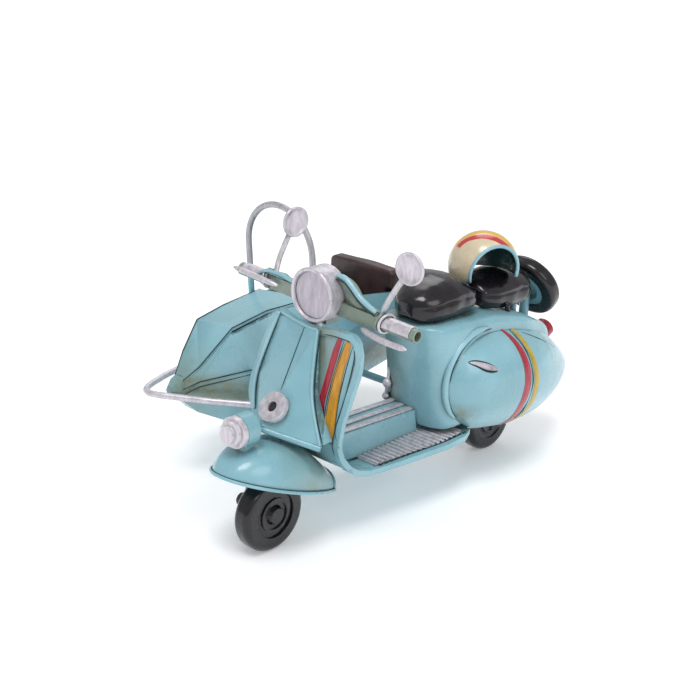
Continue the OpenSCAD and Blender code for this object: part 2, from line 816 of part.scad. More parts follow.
// Half-round guard over the sidecar wheel
module side_mudguard() {
    r_in = wheel_r + 1.1;
    x0 = -track - tyre_w / 2 - 0.4;
    color(aqua) difference() {
        translate([x0, side_wheel_y, wheel_r]) rotate([0, 90, 0]) difference() {
            cylinder(h = side_bracket_x - x0, r = r_in + sheet_t, $fn = 72);
            translate([0, 0, -cut]) cylinder(h = 20, r = r_in, $fn = 72);
            translate([-4, -20, -2 * cut]) cube([40, 40, 30]);
        }
        hull_solid();
    }
}

strut_y = 34;

// Flat bar under the floor and the hull
module strut_front() {
    color(deep_aqua) difference() {
        translate([-46, strut_y - 2, floor_z - sheet_t / 2 - 1.2]) cube([56, 4, 1.2]);
        edge_band();
    }
}

module strut_rear() {
    color(deep_aqua) difference() {
        rod_x(-30, -5, 58, 22.6, 1);
        hull_solid();
        body_solid(0);
    }
}

// Steering

fork_x = -6.4;
// Distance up the column to the underside of the fork's crown, and the crown's thickness
crown_low = 11;
crown_t = 1.8;
// Distance up the column to its top
column_top = 51.6;

module steering_column() {
    column_low = crown_low + crown_t;
    color(silver) on_column() translate([0, 0, column_low])
        cylinder(h = column_top - column_low, r = column_r);
}

// Single-sided fork: a crown plate over the wheel and a leg on its right
module fork_leg() {
    color(dark_metal) difference() {
        on_column() {
            translate([fork_x, -2.2, crown_low]) cube([-fork_x + 2.4, 4.4, crown_t]);
            translate([fork_x, -1.8, -1]) cube([1.4, 3.6, 13]);
            rotate([0, 90, 0]) translate([0, 0, fork_x]) cylinder(h = 1.4, r = 2.4);
        }
        rod_x(-20, 0, 0, wheel_r, axle_r);
    }
}

module front_axle() {
    color(dark_metal) {
        rod_x(fork_x - 2, wheel_x + axle_tip, 0, wheel_r, axle_r);
        rod_x(fork_x - 2.2, fork_x, 0, wheel_r, head_r);
        rod_x(fork_x + 1.4, wheel_x - disc_face - side_gap, 0, wheel_r, head_r);
    }
}

// Fender: half-width and height of its arch at distance y along the column's own Y
fender_rim = 7.5;
fender_front = -18.4;
fender_mid = -1;
fender_rear = 14.4;

function fender_w(y) = y < fender_mid
    ? 10.3 * pow(max(1 - pow((fender_mid - y) / (fender_mid - fender_front), 2), 0.002), 0.5)
    : 10.3 - 3.4 * pow((y - fender_mid) / (fender_rear - fender_mid), 2);

function fender_h(y) = y < fender_mid
    ? 10.6 * pow(max(1 - pow((fender_mid - y) / (fender_mid - fender_front), 2), 0.004), 0.55)
    : 10.6 - 6.2 * pow((y - fender_mid) / (fender_rear - fender_mid), 1.35);

fender_rows = concat(
    [for (a = [90:-10:0]) fender_mid - (fender_mid - fender_front) * sin(a)],
    [for (i = [1:5]) fender_mid + (fender_rear - fender_mid) * i / 5]);

module fender_solid(t) {
    rows = [for (y = fender_rows) if (t == 0 || y > fender_front + 1) y];
    extra = t == 0 ? [] : [arch(fender_rear + cut, fender_w(fender_rear) - t, fender_rim - cut,
        fender_h(fender_rear) - t + cut)];
    loft(concat([for (y = rows) arch(y, fender_w(y) - t, fender_rim - (t > 0 ? cut : 0),
        fender_h(y) - t + (t > 0 ? cut : 0))], extra));
}

// Outline of the fender's edge, moved outwards by d
function fender_plan(d) = concat(
    [for (y = fender_rows) [-fender_w(y) - d, y - (y == fender_front ? d : 0)]],
    [for (i = [len(fender_rows) - 1:-1:0]) [fender_w(fender_rows[i]) + d, fender_rows[i]
        - (fender_rows[i] == fender_front ? d : 0)]]);

module front_fender() {
    flange = 0.7;
    color(aqua) on_column() difference() {
        union() {
            fender_solid(0);
            translate([0, 0, fender_rim]) linear_extrude(flange)
                polygon([for (p = fender_plan(flange)) [-p[0], p[1]]]);
        }
        fender_solid(shell_t);
        cylinder(h = 30, r = column_r);
    }
}

lamp = [0, -5.2, 32.6];
lamp_r = 3.9;

module fender_lamp() {
    color(aqua) difference() {
        union() {
            rod_y(lamp[1] - 3.6, lamp[1], 0, lamp[2], lamp_r);
            translate([0, lamp[1], lamp[2]]) rotate([-90, 0, 0])
                cylinder(h = 1.4, r1 = lamp_r, r2 = lamp_r - 1.4);
            translate([-1.6, lamp[1] - 3, 25]) cube([3.2, 3, 6]);
        }
        on_column() fender_solid(0);
    }
}

module fender_lamp_lens() {
    front = lamp[1] - 3.6;
    color(silver) {
        rod_y(front - 1.4, front, 0, lamp[2], lamp_r - 0.1);
        rod_y(front - 2.6, front - 1.4, 0, lamp[2], lamp_r - 0.9);
        rod_y(front - 3.6, front - 2.6, 0, lamp[2], lamp_r - 1.8);
    }
}

headlight = [0.3, 14.2, 60];
headlight_depth = 5.4;

module headlight_bowl() {
    back = headlight[1] + headlight_depth;
    color(silver) difference() {
        translate([headlight[0], back, headlight[2]]) rotate([90, 0, 0]) union() {
            cylinder(h = headlight_depth, r = headlight_r, $fn = 64);
            translate([0, 0, -1.4]) cylinder(h = 1.4, r1 = headlight_r - 2, r2 = headlight_r);
        }
        rod_y(headlight[1] - cut, back - 0.8, headlight[0], headlight[2], headlight_r - 0.9);
        handlebar_core();
        handlebar_clamp();
        on_column() cylinder(h = 60, r = column_r);
    }
}

module headlight_lens() {
    front = headlight[1] + 0.3;
    color(lens_grey) rod_y(front, front + 0.6, headlight[0], headlight[2], headlight_r - 0.9);
}

// Half-length of the handlebar's flat middle, its depth and its height
bar_core = [18.5, 3, 3.4];
// Distance from the handlebar's middle to the closed end of each tube's hole
bar_hole_end = 19.2;

// The flat middle of the handlebar
module handlebar_core() {
    on_bar() cube([2 * bar_core[0], bar_core[1], bar_core[2]], center = true);
}

// Block that holds the handlebar on the steering column
module handlebar_clamp() on_bar() translate([-3, -2.4, -4.6]) cube([6, 4.4, 3]);

module bar_end(side) {
    on_bar() difference() {
        rotate([0, 90 * side, 0]) translate([0, 0, bar_core[0]])
            cylinder(h = bar_reach - bar_core[0], r = bar_tube_r);
        rotate([0, 90 * side, 0]) translate([0, 0, bar_hole_end]) cylinder(h = bar_reach, r = bar_hole_r);
    }
}

module handlebar() {
    color(aqua) difference() {
        union() {
            handlebar_core();
            bar_end(1);
            bar_end(-1);
            handlebar_clamp();
        }
        on_column() cylinder(h = 60, r = column_r);
    }
}

// Bright half sleeve over one end tube
module half_sleeve(side) {
    on_bar() difference() {
        rotate([0, 90 * side, 0]) translate([0, 0, 18.8]) cylinder(h = 8.4, r = bar_tube_r + 0.3);
        rotate([0, 90 * side, 0]) translate([0, 0, 18]) cylinder(h = 12, r = bar_tube_r);
        translate([-40, -10, -10 - 0.4]) cube([80, 20, 10]);
    }
}

module left_grip() color(silver) half_sleeve(1);

module right_grip() color(silver) half_sleeve(-1);

// Flat brake lever in front of one end tube, held on a short lug
module lever(side) {
    on_bar() mirror([side > 0 ? 0 : 1, 0, 0]) {
        translate([14, -3.8, -2.6]) cube([14.4, 1.2, 0.9]);
        translate([14, -2.7, -2.6]) cube([2, 1.2, 1.2]);
    }
}

module left_lever() color(silver) lever(1);

module right_lever() color(silver) lever(-1);

// Round mirror on a bent wire, facing along turn and tip
module mirror_piece(path, face, turn, tip, ref) {
    wire(path, stem_r, ref, 2.5);
    translate(face) rotate([0, 0, turn]) rotate([90 + tip, 0, 0]) translate([0, 0, -0.6])
        cylinder(h = 1.2, r = mirror_r);
}

module left_mirror() {
    color(silver) difference() {
        mirror_piece([[17.2, bar_y, bar_z], [20.4, 18.4, 63], [25, 17.7, 69.3]],
            [26.7, 17.6, 71.6], 15, 0, [0, 1, 0]);
        handlebar_core();
    }
}

module right_mirror() {
    color(silver) difference() {
        mirror_piece([[-17, bar_y, bar_z + 2.2], [-18, 21.4, 63.5], [-18, 24.8, 69.2]],
            [-17.4, 26, 72], 82, 0, [1, 0, 0]);
        handlebar_core();
    }
}

place() leg_shield();
place() shield_rim();
place() front_cover();
place() cover_bead();
place() horn_ring();
place() horn_disc();
place() head_tube();
place() floor_mat_left();
place() floor_mat_right();
place() tunnel();
place() tunnel_strips();
place() rear_body();
place() left_cowl();
place() right_panel();
place() cowl_badge();
place() tail_light();
place() rear_brackets();
place() rear_axle();
place() body_knobs();
place() front_saddle();
place() saddle_post();
place() pillion_saddle();
place() pillion_posts();
place() helmet();
place() spare_carrier();
place() spare_tyre();
place() spare_disc();
place() strut_front();
place() strut_rear();
place() sidecar_hull();
place() sidecar_deck();
place() sidecar_tail();
place() nose_cap();
place() bumper_wire();
place() windscreen_wire();
place() seat_back();
place() seat_cushion();
place() side_wheel_bracket();
place() side_axle();
place() side_mudguard();
place() steering_column();
place() fork_leg();
place() front_axle();
place() front_fender();
place() fender_lamp();
place() fender_lamp_lens();
place() headlight_bowl();
place() headlight_lens();
place() handlebar();
place() left_grip();
place() right_grip();
place() left_lever();
place() right_lever();
place() left_mirror();
place() right_mirror();
place() front_tyre();
place() front_wheel_disc();
place() rear_wheel();
place() side_wheel();
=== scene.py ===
"""Looks of a tin scooter with a sidecar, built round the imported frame. Metres, +Z up."""

import json
import math

import bpy
from mathutils import Matrix, Vector, noise


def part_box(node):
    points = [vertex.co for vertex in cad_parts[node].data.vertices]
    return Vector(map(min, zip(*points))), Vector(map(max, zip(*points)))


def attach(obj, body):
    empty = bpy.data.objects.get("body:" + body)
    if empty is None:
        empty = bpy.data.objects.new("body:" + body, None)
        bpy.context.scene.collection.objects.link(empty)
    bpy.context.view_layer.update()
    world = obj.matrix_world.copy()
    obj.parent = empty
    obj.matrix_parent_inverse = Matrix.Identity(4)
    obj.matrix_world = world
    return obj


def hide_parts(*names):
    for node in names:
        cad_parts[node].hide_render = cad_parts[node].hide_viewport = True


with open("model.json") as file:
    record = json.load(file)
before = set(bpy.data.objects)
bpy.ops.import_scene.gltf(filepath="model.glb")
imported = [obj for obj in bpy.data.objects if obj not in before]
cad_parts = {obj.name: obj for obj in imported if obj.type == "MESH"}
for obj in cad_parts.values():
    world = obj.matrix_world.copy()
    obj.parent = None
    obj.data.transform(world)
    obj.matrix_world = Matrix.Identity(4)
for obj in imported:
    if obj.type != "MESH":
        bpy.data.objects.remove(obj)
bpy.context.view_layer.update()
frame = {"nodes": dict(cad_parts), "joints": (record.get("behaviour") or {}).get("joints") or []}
NODES = frame["nodes"]
JOINTS = {j["name"]: j for j in frame["joints"]}

MM = 0.001

# Places are given in the scooter's own millimetres, as in the part: X to its left, Y rearwards from
# the front axle, Z up from the ground. Its wheels stand WHEEL_OFFSET to the left of its middle.
TYRE_LOW, TYRE_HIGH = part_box("front_tyre")
WHEEL_R = (TYRE_HIGH.z - TYRE_LOW.z) / 2 / MM
WHEEL_OFFSET = 1.0
AXLE = Vector(JOINTS["front_wheel_spin"]["pos_m"])
ORIGIN = Vector((AXLE.x - WHEEL_OFFSET * MM, AXLE.y, 0))
COLUMN_AXIS = Vector(JOINTS["steering_turn"]["axis"])
RAKE = math.atan2(COLUMN_AXIS.y, COLUMN_AXIS.z)
BAR_TILT = math.radians(3)
BAR_Z = 57.6
BAR_Y = (BAR_Z - WHEEL_R) * math.tan(RAKE) + 0.9


def at(x, y, z):
    """A place in the scooter's millimetres, as a point in the frame's metres."""
    return ORIGIN + Vector((x, y, z)) * MM


def on_column(x, y, z):
    """As at(), but from the front axle and leaning back with the steering column."""
    p = Matrix.Rotation(-RAKE, 3, "X") @ Vector((x, y, z))
    return at(p.x, p.y, p.z + WHEEL_R)


def on_bar(x, y, z):
    """As at(), but from the middle of the handlebar and drooping with it."""
    p = Matrix.Rotation(BAR_TILT, 3, "Y") @ Vector((x, y, z))
    return at(p.x, p.y + BAR_Y, p.z + BAR_Z)


# Camera, light and floor


def make_camera():
    """Camera in front of the scooter and to its left, rolled slightly."""
    azimuth, elevation, roll = math.radians(42.45), math.radians(20.28), math.radians(1.635)
    data = bpy.data.cameras.new("camera")
    data.sensor_width = 36
    data.lens = 66.49
    camera = bpy.data.objects.new("camera", data)
    bpy.context.scene.collection.objects.link(camera)
    back = Vector((math.sin(azimuth) * math.cos(elevation), -math.cos(azimuth) * math.cos(elevation),
                   math.sin(elevation)))
    camera.rotation_mode = "QUATERNION"
    camera.rotation_quaternion = (-back).to_track_quat("-Z", "Y")
    camera.rotation_quaternion = (camera.rotation_quaternion.to_matrix()
                                  @ Matrix.Rotation(roll, 3, "Z")).to_quaternion()
    camera.location = at(199.2, -189.68, 151.98)
    bpy.context.scene.camera = camera


def soft_sun(name, source, strength, spread):
    """Distant soft light from the direction of source, spread in degrees."""
    data = bpy.data.lights.new(name, "SUN")
    data.energy = strength
    data.angle = math.radians(spread)
    light = bpy.data.objects.new(name, data)
    light.rotation_mode = "QUATERNION"
    light.rotation_quaternion = (-Vector(source)).to_track_quat("-Z", "Y")
    bpy.context.scene.collection.objects.link(light)


def make_stage():
    """Pale world light, three soft suns and a matt white floor."""
    world = bpy.data.worlds.new("studio")
    bpy.context.scene.world = world
    world.use_nodes = True
    background = world.node_tree.nodes["Background"]
    background.inputs["Color"].default_value = (0.96, 0.98, 1.0, 1)
    background.inputs["Strength"].default_value = 0.52
    soft_sun("key", (0.3, -0.5, 1.5), 1.35, 24)
    soft_sun("side", (1.2, -0.1, 0.8), 0.55, 30)
    soft_sun("back", (-0.7, 0.9, 1.3), 0.45, 30)
    half = 3.0
    corners = [(-half, -half, 0), (half, -half, 0), (half, half, 0), (-half, half, 0)]
    mesh = bpy.data.meshes.new("floor")
    mesh.from_pydata(corners, [], [(0, 1, 2, 3)])
    floor = bpy.data.objects.new("floor", mesh)
    bpy.context.scene.collection.objects.link(floor)
    material = bpy.data.materials.new("floor")
    material.use_nodes = True
    shader = material.node_tree.nodes["Principled BSDF"]
    shader.inputs["Base Color"].default_value = (0.95, 0.945, 0.955, 1)
    shader.inputs["Roughness"].default_value = 0.7
    shader.inputs["Emission Color"].default_value = (1, 1, 1, 1)
    shader.inputs["Emission Strength"].default_value = 0.2
    mesh.materials.append(material)


# Materials


class Look:
    """A node material round one Principled shader; textures follow the object's coordinates, in metres."""

    def __init__(self, name, roughness, **sockets):
        self.material = bpy.data.materials.new(name)
        self.material.use_nodes = True
        self.tree = self.material.node_tree
        self.shader = self.tree.nodes["Principled BSDF"]
        self.coordinates = self.add("ShaderNodeTexCoord").outputs["Object"]
        for socket, value in sockets.items():
            self.shader.inputs[socket.replace("_", " ")].default_value = value
        self.shader.inputs["Roughness"].default_value = roughness

    def add(self, kind, **settings):
        node = self.tree.nodes.new(kind)
        for key, value in settings.items():
            setattr(node, key, value)
        return node

    def plug(self, source, target):
        if hasattr(source, "is_output"):
            self.tree.links.new(source, target)
        else:
            target.default_value = source

    def noise(self, size_mm, detail=3, stretch=(1, 1, 1), roughness=0.5):
        mapping = self.add("ShaderNodeMapping")
        mapping.inputs["Scale"].default_value = stretch
        self.plug(self.coordinates, mapping.inputs["Vector"])
        node = self.add("ShaderNodeTexNoise")
        node.inputs["Scale"].default_value = 1 / (size_mm * MM)
        node.inputs["Detail"].default_value = detail
        node.inputs["Roughness"].default_value = roughness
        self.plug(mapping.outputs["Vector"], node.inputs["Vector"])
        return node.outputs["Fac"]

    def spread(self, value, low, high, to_low=0.0, to_high=1.0):
        node = self.add("ShaderNodeMapRange")
        for socket, number in zip(("From Min", "From Max", "To Min", "To Max"), (low, high, to_low, to_high)):
            node.inputs[socket].default_value = number
        self.plug(value, node.inputs["Value"])
        return node.outputs["Result"]

    def calc(self, operation, a, b=0.0):
        node = self.add("ShaderNodeMath", operation=operation)
        self.plug(a, node.inputs[0])
        self.plug(b, node.inputs[1])
        return node.outputs[0]

    def times(self, a, b):
        return self.calc("MULTIPLY", a, b)

    def mix(self, factor, a, b):
        node = self.add("ShaderNodeMix", data_type="RGBA")
        self.plug(factor, node.inputs["Factor"])
        self.plug(a if hasattr(a, "is_output") else (*a, 1), node.inputs["A"])
        self.plug(b if hasattr(b, "is_output") else (*b, 1), node.inputs["B"])
        return node.outputs["Result"]

    def place(self, axis):
        """The object's coordinate along X, Y or Z, in the scooter's millimetres."""
        node = self.add("ShaderNodeSeparateXYZ")
        self.plug(self.coordinates, node.inputs["Vector"])
        return self.calc("DIVIDE", self.calc("SUBTRACT", node.outputs[axis], ORIGIN["XYZ".index(axis)]), MM)

    def band(self, value, low, high, soft):
        """1 between low and high, fading to 0 over soft on each side."""
        rise = self.spread(value, low - soft, low + soft)
        fall = self.spread(value, high - soft, high + soft, 1.0, 0.0)
        return self.times(rise, fall)

    def crevice(self, distance_mm):
        """Near 0 deep in corners and 1 in the open."""
        node = self.add("ShaderNodeAmbientOcclusion", samples=6)
        node.inputs["Distance"].default_value = distance_mm * MM
        return node.outputs["AO"]

    def edge(self, width_mm, low, high):
        """1 along folds and edges within width of them."""
        bevel = self.add("ShaderNodeBevel", samples=6)
        bevel.inputs["Radius"].default_value = width_mm * MM
        dot = self.add("ShaderNodeVectorMath", operation="DOT_PRODUCT")
        self.plug(bevel.outputs["Normal"], dot.inputs[0])
        self.plug(self.add("ShaderNodeNewGeometry").outputs["Normal"], dot.inputs[1])
        return self.spread(dot.outputs["Value"], 1 - low, 1 - high)

    def bump(self, height, strength, distance_mm):
        node = self.add("ShaderNodeBump")
        node.inputs["Strength"].default_value = strength
        node.inputs["Distance"].default_value = distance_mm * MM
        self.plug(height, node.inputs["Height"])
        self.plug(node.outputs["Normal"], self.shader.inputs["Normal"])

    def finish(self, colour, roughness):
        self.plug(colour, self.shader.inputs["Base Color"])
        self.plug(roughness, self.shader.inputs["Roughness"])
        return self.material


AQUA = (0.235, 0.47, 0.54)
# Lighter aqua: one end of the random mottling, and the painted highlight on edges and rolled rims
AQUA_LIGHT = (0.33, 0.58, 0.66)
# Darker aqua: one end of the random mottling, and the painted shade on parts in shadow
AQUA_DEEP = (0.135, 0.30, 0.345)
INK = (0.045, 0.11, 0.12)
# Colour of the painted shade in creases, a dark grime-like olive
CREVICE_SHADE = (0.13, 0.15, 0.10)
# Grey-green of the painted shade on the leg shield's wing
WING_SHADE = (0.185, 0.225, 0.175)
# Grey-green that stands for aqua in shade
SAGE_SHADE = (0.225, 0.29, 0.235)
# Olive of the painted shade and grime on the sidecar's lower flank
OLIVE_SHADE_GRIME = (0.17, 0.205, 0.13)
# Darker olive-brown low on the cowl's front
COWL_FOOT_DARK = (0.15, 0.165, 0.085)
BODY_SHADE = (0.125, 0.19, 0.165)
# Darker grey-green on the fender's rear half
FENDER_REAR_DARK = (0.21, 0.27, 0.21)


def enamel(name, base=AQUA, ink=0.75, local_tint=None):
    """Hand-brushed enamel on tin, with painted shade in the creases and ink-like lines on the folds."""
    look = Look(name, 0.3, Coat_Weight=0.45, Coat_Roughness=0.12)
    light = tuple(b * l / a for b, l, a in zip(base, AQUA_LIGHT, AQUA))
    deep = tuple(b * d / a for b, d, a in zip(base, AQUA_DEEP, AQUA))
    colour = look.mix(look.spread(look.noise(16), 0.35, 0.68), deep, light)
    colour = look.mix(0.62, colour, base)
    if local_tint:
        colour = local_tint(look, colour)
    # Painted shade in creases and corners, made patchy like grime
    darkening = look.spread(look.crevice(2.6), 0.75, 0.25)
    darkening = look.times(darkening, look.spread(look.noise(3.4, 4), 0.3, 0.62, 0.25, 0.8))
    colour = look.mix(darkening, colour, CREVICE_SHADE)
    patchy = look.spread(look.noise(2.2, 3), 0.36, 0.56)
    line = look.times(look.edge(0.26, 0.015, 0.09), look.times(patchy, ink))
    colour = look.mix(line, colour, INK)
    # Lighter aqua along edges, patchy: rubbed paint and a painted highlight
    edge_lightening = look.times(look.edge(0.5, 0.01, 0.07), look.spread(look.noise(1.7, 3), 0.6, 0.7))
    colour = look.mix(look.times(edge_lightening, 0.7), colour, AQUA_LIGHT)
    strokes = look.noise(1.6, 4, (1, 1, 0.22), 0.6)
    look.bump(look.calc("ADD", strokes, look.noise(7, 2)), 0.28, 0.16)
    return look.finish(colour, look.spread(look.noise(2.8, 4), 0.3, 0.7, 0.2, 0.46))


def shield_wing_shade(look, colour):
    """Painted shade, grey-green and patchy, on the leg shield's left wing beside the front cover."""
    across = look.band(look.place("X"), 2.5, 9.5, 3.6)
    up = look.band(look.place("Z"), 27, 58, 3.0)
    patchy = look.spread(look.noise(4), 0.2, 0.7, 0.6, 1)
    amount = look.times(look.times(across, up), patchy)
    return look.mix(amount, colour, WING_SHADE)


def hull_shade_and_grime(look, colour):
    """Painted shade mixed with olive grime along the sidecar's lower flank, and the same olive, fainter,
    round its nose.
    """
    up = look.band(look.place("Z"), 22.5, 29.5, 1.6)
    near = look.spread(look.place("X"), -46, -41)
    nose = look.spread(look.place("Y"), 17, 11)
    low = look.times(up, near)
    amount = look.calc("MAXIMUM", low, look.times(nose, 0.55))
    amount = look.times(amount, look.spread(look.noise(4), 0.25, 0.65, 0.45, 1))
    return look.mix(amount, colour, OLIVE_SHADE_GRIME)


def body_front_shade(look, colour):
    """Painted shade, green, on the right half of the body's front panel."""
    side = look.spread(look.place("X"), 3.5, -2.5)
    front = look.spread(look.place("Y"), 56, 52.5)
    return look.mix(look.times(look.times(side, front), 0.7), colour, BODY_SHADE)


def cowl_foot_darkening(look, colour):
    """Darker olive-brown, patchy, low on the cowl's front where it meets the floor."""
    up = look.band(look.place("Z"), 15, 24.5, 2.2)
    front = look.spread(look.place("Y"), 60, 54)
    patchy = look.spread(look.noise(3), 0.3, 0.6, 0.35, 0.95)
    amount = look.times(look.times(up, front), patchy)
    return look.mix(amount, colour, COWL_FOOT_DARK)


def fender_rear_darkening(look, colour):
    """Duller, darker grey-green, patchy, on the rear half of the fender."""
    rear = look.spread(look.place("Y"), -4, 9)
    amount = look.times(rear, look.spread(look.noise(5), 0.3, 0.65, 0.3, 0.85))
    return look.mix(amount, colour, FENDER_REAR_DARK)


def shades(base, dark, light):
    """A darker and a lighter shade of one colour."""
    return tuple(c * dark for c in base), tuple(c * light for c in base)


def silver_paint(name, base=(0.64, 0.60, 0.65), feet=None, darkening=1.0):
    """Brushed-on silver paint with streaks, painted shade in its crevices and a painted highlight along its
    edges; feet adds enamel below that height in millimetres.
    """
    look = Look(name, 0.36, Metallic=0.45)
    streaks = look.noise(1.1, 5, (1, 1, 0.25), 0.65)
    colour = look.mix(look.spread(streaks, 0.3, 0.7), *shades(base, 0.72, 1.2))
    # Painted shade in crevices, near black, as strong as the last argument says
    colour = look.mix(look.spread(look.crevice(1.2), 0.7, 0.2, 0, darkening), colour, (0.07, 0.07, 0.075))
    # Lighter silver along every edge: a painted highlight
    edge_lightening = look.edge(0.3, 0.01, 0.08)
    colour = look.mix(look.times(edge_lightening, 0.5), colour, (0.8, 0.79, 0.8))
    if feet is not None:
        low = look.spread(look.calc("ADD", look.place("Z"), look.spread(look.noise(2), 0, 1, -0.8, 0.8)),
                          feet + 0.5, feet - 0.5)
        colour = look.mix(low, colour, AQUA)
    look.bump(streaks, 0.35, 0.12)
    return look.finish(colour, look.spread(streaks, 0.3, 0.7, 0.28, 0.5))


def gloss_black(name, base=(0.007, 0.006, 0.008), crinkle_mm=6.0):
    """Wet-looking black paint, dusty, and greyer at its edges: rubbed paint with a painted highlight."""
    look = Look(name, 0.2, Coat_Weight=0.3, Coat_Roughness=0.1, Specular_IOR_Level=0.38)
    dust = look.spread(look.noise(2.4, 5), 0.5, 0.75)
    colour = look.mix(look.times(dust, 0.35), base, (0.022, 0.019, 0.022))
    # Grey along edges, patchy: rubbed paint and a painted highlight
    edge_lightening = look.times(look.edge(0.3, 0.02, 0.1), look.spread(look.noise(1.5), 0.52, 0.66))
    colour = look.mix(look.times(edge_lightening, 0.5), colour, (0.12, 0.11, 0.12))
    look.bump(look.calc("ADD", look.noise(crinkle_mm, 2), look.noise(1.2, 3)), 0.3, 0.14)
    return look.finish(colour, look.spread(look.noise(3, 4), 0.3, 0.7, 0.14, 0.34))


def satin_brown(name):
    """Dark brown paint over a rough, creased surface."""
    look = Look(name, 0.42, Coat_Weight=0.25, Coat_Roughness=0.3)
    colour = look.mix(look.spread(look.noise(5, 4), 0.3, 0.7), (0.028, 0.013, 0.013), (0.075, 0.034, 0.032))
    # Lighter brown along edges, patchy: rubbed paint and a painted highlight
    edge_lightening = look.times(look.edge(0.5, 0.01, 0.08), look.spread(look.noise(1.8), 0.45, 0.62))
    colour = look.mix(look.times(edge_lightening, 0.45), colour, (0.17, 0.095, 0.08))
    look.bump(look.calc("ADD", look.noise(0.9, 4), look.noise(5, 2)), 0.35, 0.16)
    return look.finish(colour, look.spread(look.noise(1.6, 3), 0.3, 0.7, 0.34, 0.56))


def stripe_paint(name, base):
    """Bright paint drawn on with a small brush."""
    look = Look(name, 0.3, Coat_Weight=0.35, Coat_Roughness=0.14)
    streaks = look.noise(1.4, 4, (1, 1, 0.3))
    colour = look.mix(look.spread(streaks, 0.3, 0.7), *shades(base, 0.72, 1.15))
    look.bump(streaks, 0.3, 0.12)
    return look.finish(colour, look.spread(look.noise(1), 0.3, 0.7, 0.24, 0.42))


def dull_metal(name, base=(0.07, 0.072, 0.075)):
    """Dark bare metal with specks of rust."""
    look = Look(name, 0.5, Metallic=0.7)
    colour = look.mix(look.spread(look.noise(2, 5), 0.35, 0.65), tuple(c * 0.6 for c in base), base)
    rust = look.spread(look.noise(3, 4), 0.62, 0.72)
    colour = look.mix(look.times(rust, 0.35), colour, (0.09, 0.045, 0.025))
    look.bump(look.noise(0.8, 3), 0.3, 0.1)
    return look.finish(colour, look.spread(look.noise(1.5, 3), 0.3, 0.7, 0.38, 0.62))


HELMET = Vector((2, 77.3, 55))
HELMET_R = 9.4
HELMET_TURN = math.radians(-20)


def helmet_paint(name):
    """Cream outside with a red and a yellow stripe over the crown, and dark green inside."""
    look = Look(name, 0.28, Coat_Weight=0.5, Coat_Roughness=0.1)
    x = look.calc("SUBTRACT", look.place("X"), HELMET.x)
    y = look.calc("SUBTRACT", look.place("Y"), HELMET.y)
    z = look.calc("SUBTRACT", look.place("Z"), HELMET.z)
    square = [look.times(v, v) for v in (x, y, z)]
    radius = look.calc("SQRT", look.calc("ADD", look.calc("ADD", square[0], square[1]), square[2]))
    colour = look.mix(look.spread(look.noise(5, 4), 0.3, 0.7), (0.60, 0.49, 0.33), (0.76, 0.66, 0.47))
    wobble = look.spread(look.noise(3), 0, 1, -0.5, 0.5)
    back = look.calc("ADD", look.times(x, -0.57), look.times(y, 0.82))
    back = look.calc("ADD", back, wobble)
    top = look.spread(z, 5.2, 5.8)
    red = look.times(look.band(back, -4.2, -2.3, 0.12), top)
    yellow = look.times(look.band(back, -2.1, 0.5, 0.12), top)
    colour = look.mix(red, colour, (0.52, 0.02, 0.025))
    colour = look.mix(yellow, colour, (0.76, 0.43, 0.02))
    # Darker and browner towards the bottom of the helmet, patchy
    darkening = look.times(look.spread(z, 0.5, -2.2), look.spread(look.noise(2.5, 4), 0.3, 0.65))
    colour = look.mix(look.times(darkening, 0.6), colour, (0.3, 0.25, 0.14))
    inside = look.spread(radius, HELMET_R - 0.3, HELMET_R - 0.45)
    colour = look.mix(inside, colour, (0.018, 0.06, 0.055))
    look.bump(look.noise(2, 3), 0.2, 0.12)
    return look.finish(colour, look.spread(look.noise(2, 3), 0.3, 0.7, 0.2, 0.4))


PAINT = {
    "aqua": enamel("aqua"),
    # Aqua painted in shade, for the head tube and the struts
    "deep_aqua": enamel("deep_aqua", AQUA_DEEP),
    "shield": enamel("shield_aqua", AQUA, 0.6, shield_wing_shade),
    "hull": enamel("hull_aqua", AQUA, 0.95, hull_shade_and_grime),
    "body": enamel("body_aqua", AQUA, 0.6, body_front_shade),
    "cowl": enamel("cowl_aqua", AQUA, 0.6, cowl_foot_darkening),
    "fender": enamel("fender_aqua", AQUA, 0.7, fender_rear_darkening),
    # Aqua painted lighter as a highlight, for rolled lips, ridges and rims
    "highlight_aqua": enamel("highlight_aqua", tuple((a + b) / 2 for a, b in zip(AQUA, AQUA_LIGHT)), 0.35),
    # Grey-green painted shade, for the handlebar, its left web and the inner clamp loops
    "shade_sage": enamel("shade_sage", SAGE_SHADE, 0.8),
    "silver": silver_paint("silver"),
    "mat": silver_paint("mat_silver", (0.62, 0.59, 0.63), darkening=0.45),
    "lens": silver_paint("lens_grey", (0.50, 0.455, 0.52), darkening=0.35),
    "screen": silver_paint("screen_silver", (0.46, 0.45, 0.47), 50.0),
    "stem": silver_paint("stem_silver", (0.62, 0.6, 0.62), 60.0),
    "black": gloss_black("gloss_black"),
    "saddle": gloss_black("saddle_black", (0.009, 0.006, 0.009), 9.0),
    "brown": satin_brown("satin_brown"),
    "red": stripe_paint("red", (0.40, 0.008, 0.03)),
    "yellow": stripe_paint("yellow", (0.62, 0.28, 0.006)),
    "olive": stripe_paint("olive_yellow", (0.52, 0.35, 0.012)),
    "dark": dull_metal("dull_metal"),
    "ink": dull_metal("ink_line", (0.035, 0.085, 0.09)),
    "helmet": helmet_paint("helmet_cream"),
    "rust_mat": dull_metal("worn_mat", (0.24, 0.13, 0.10)),
}

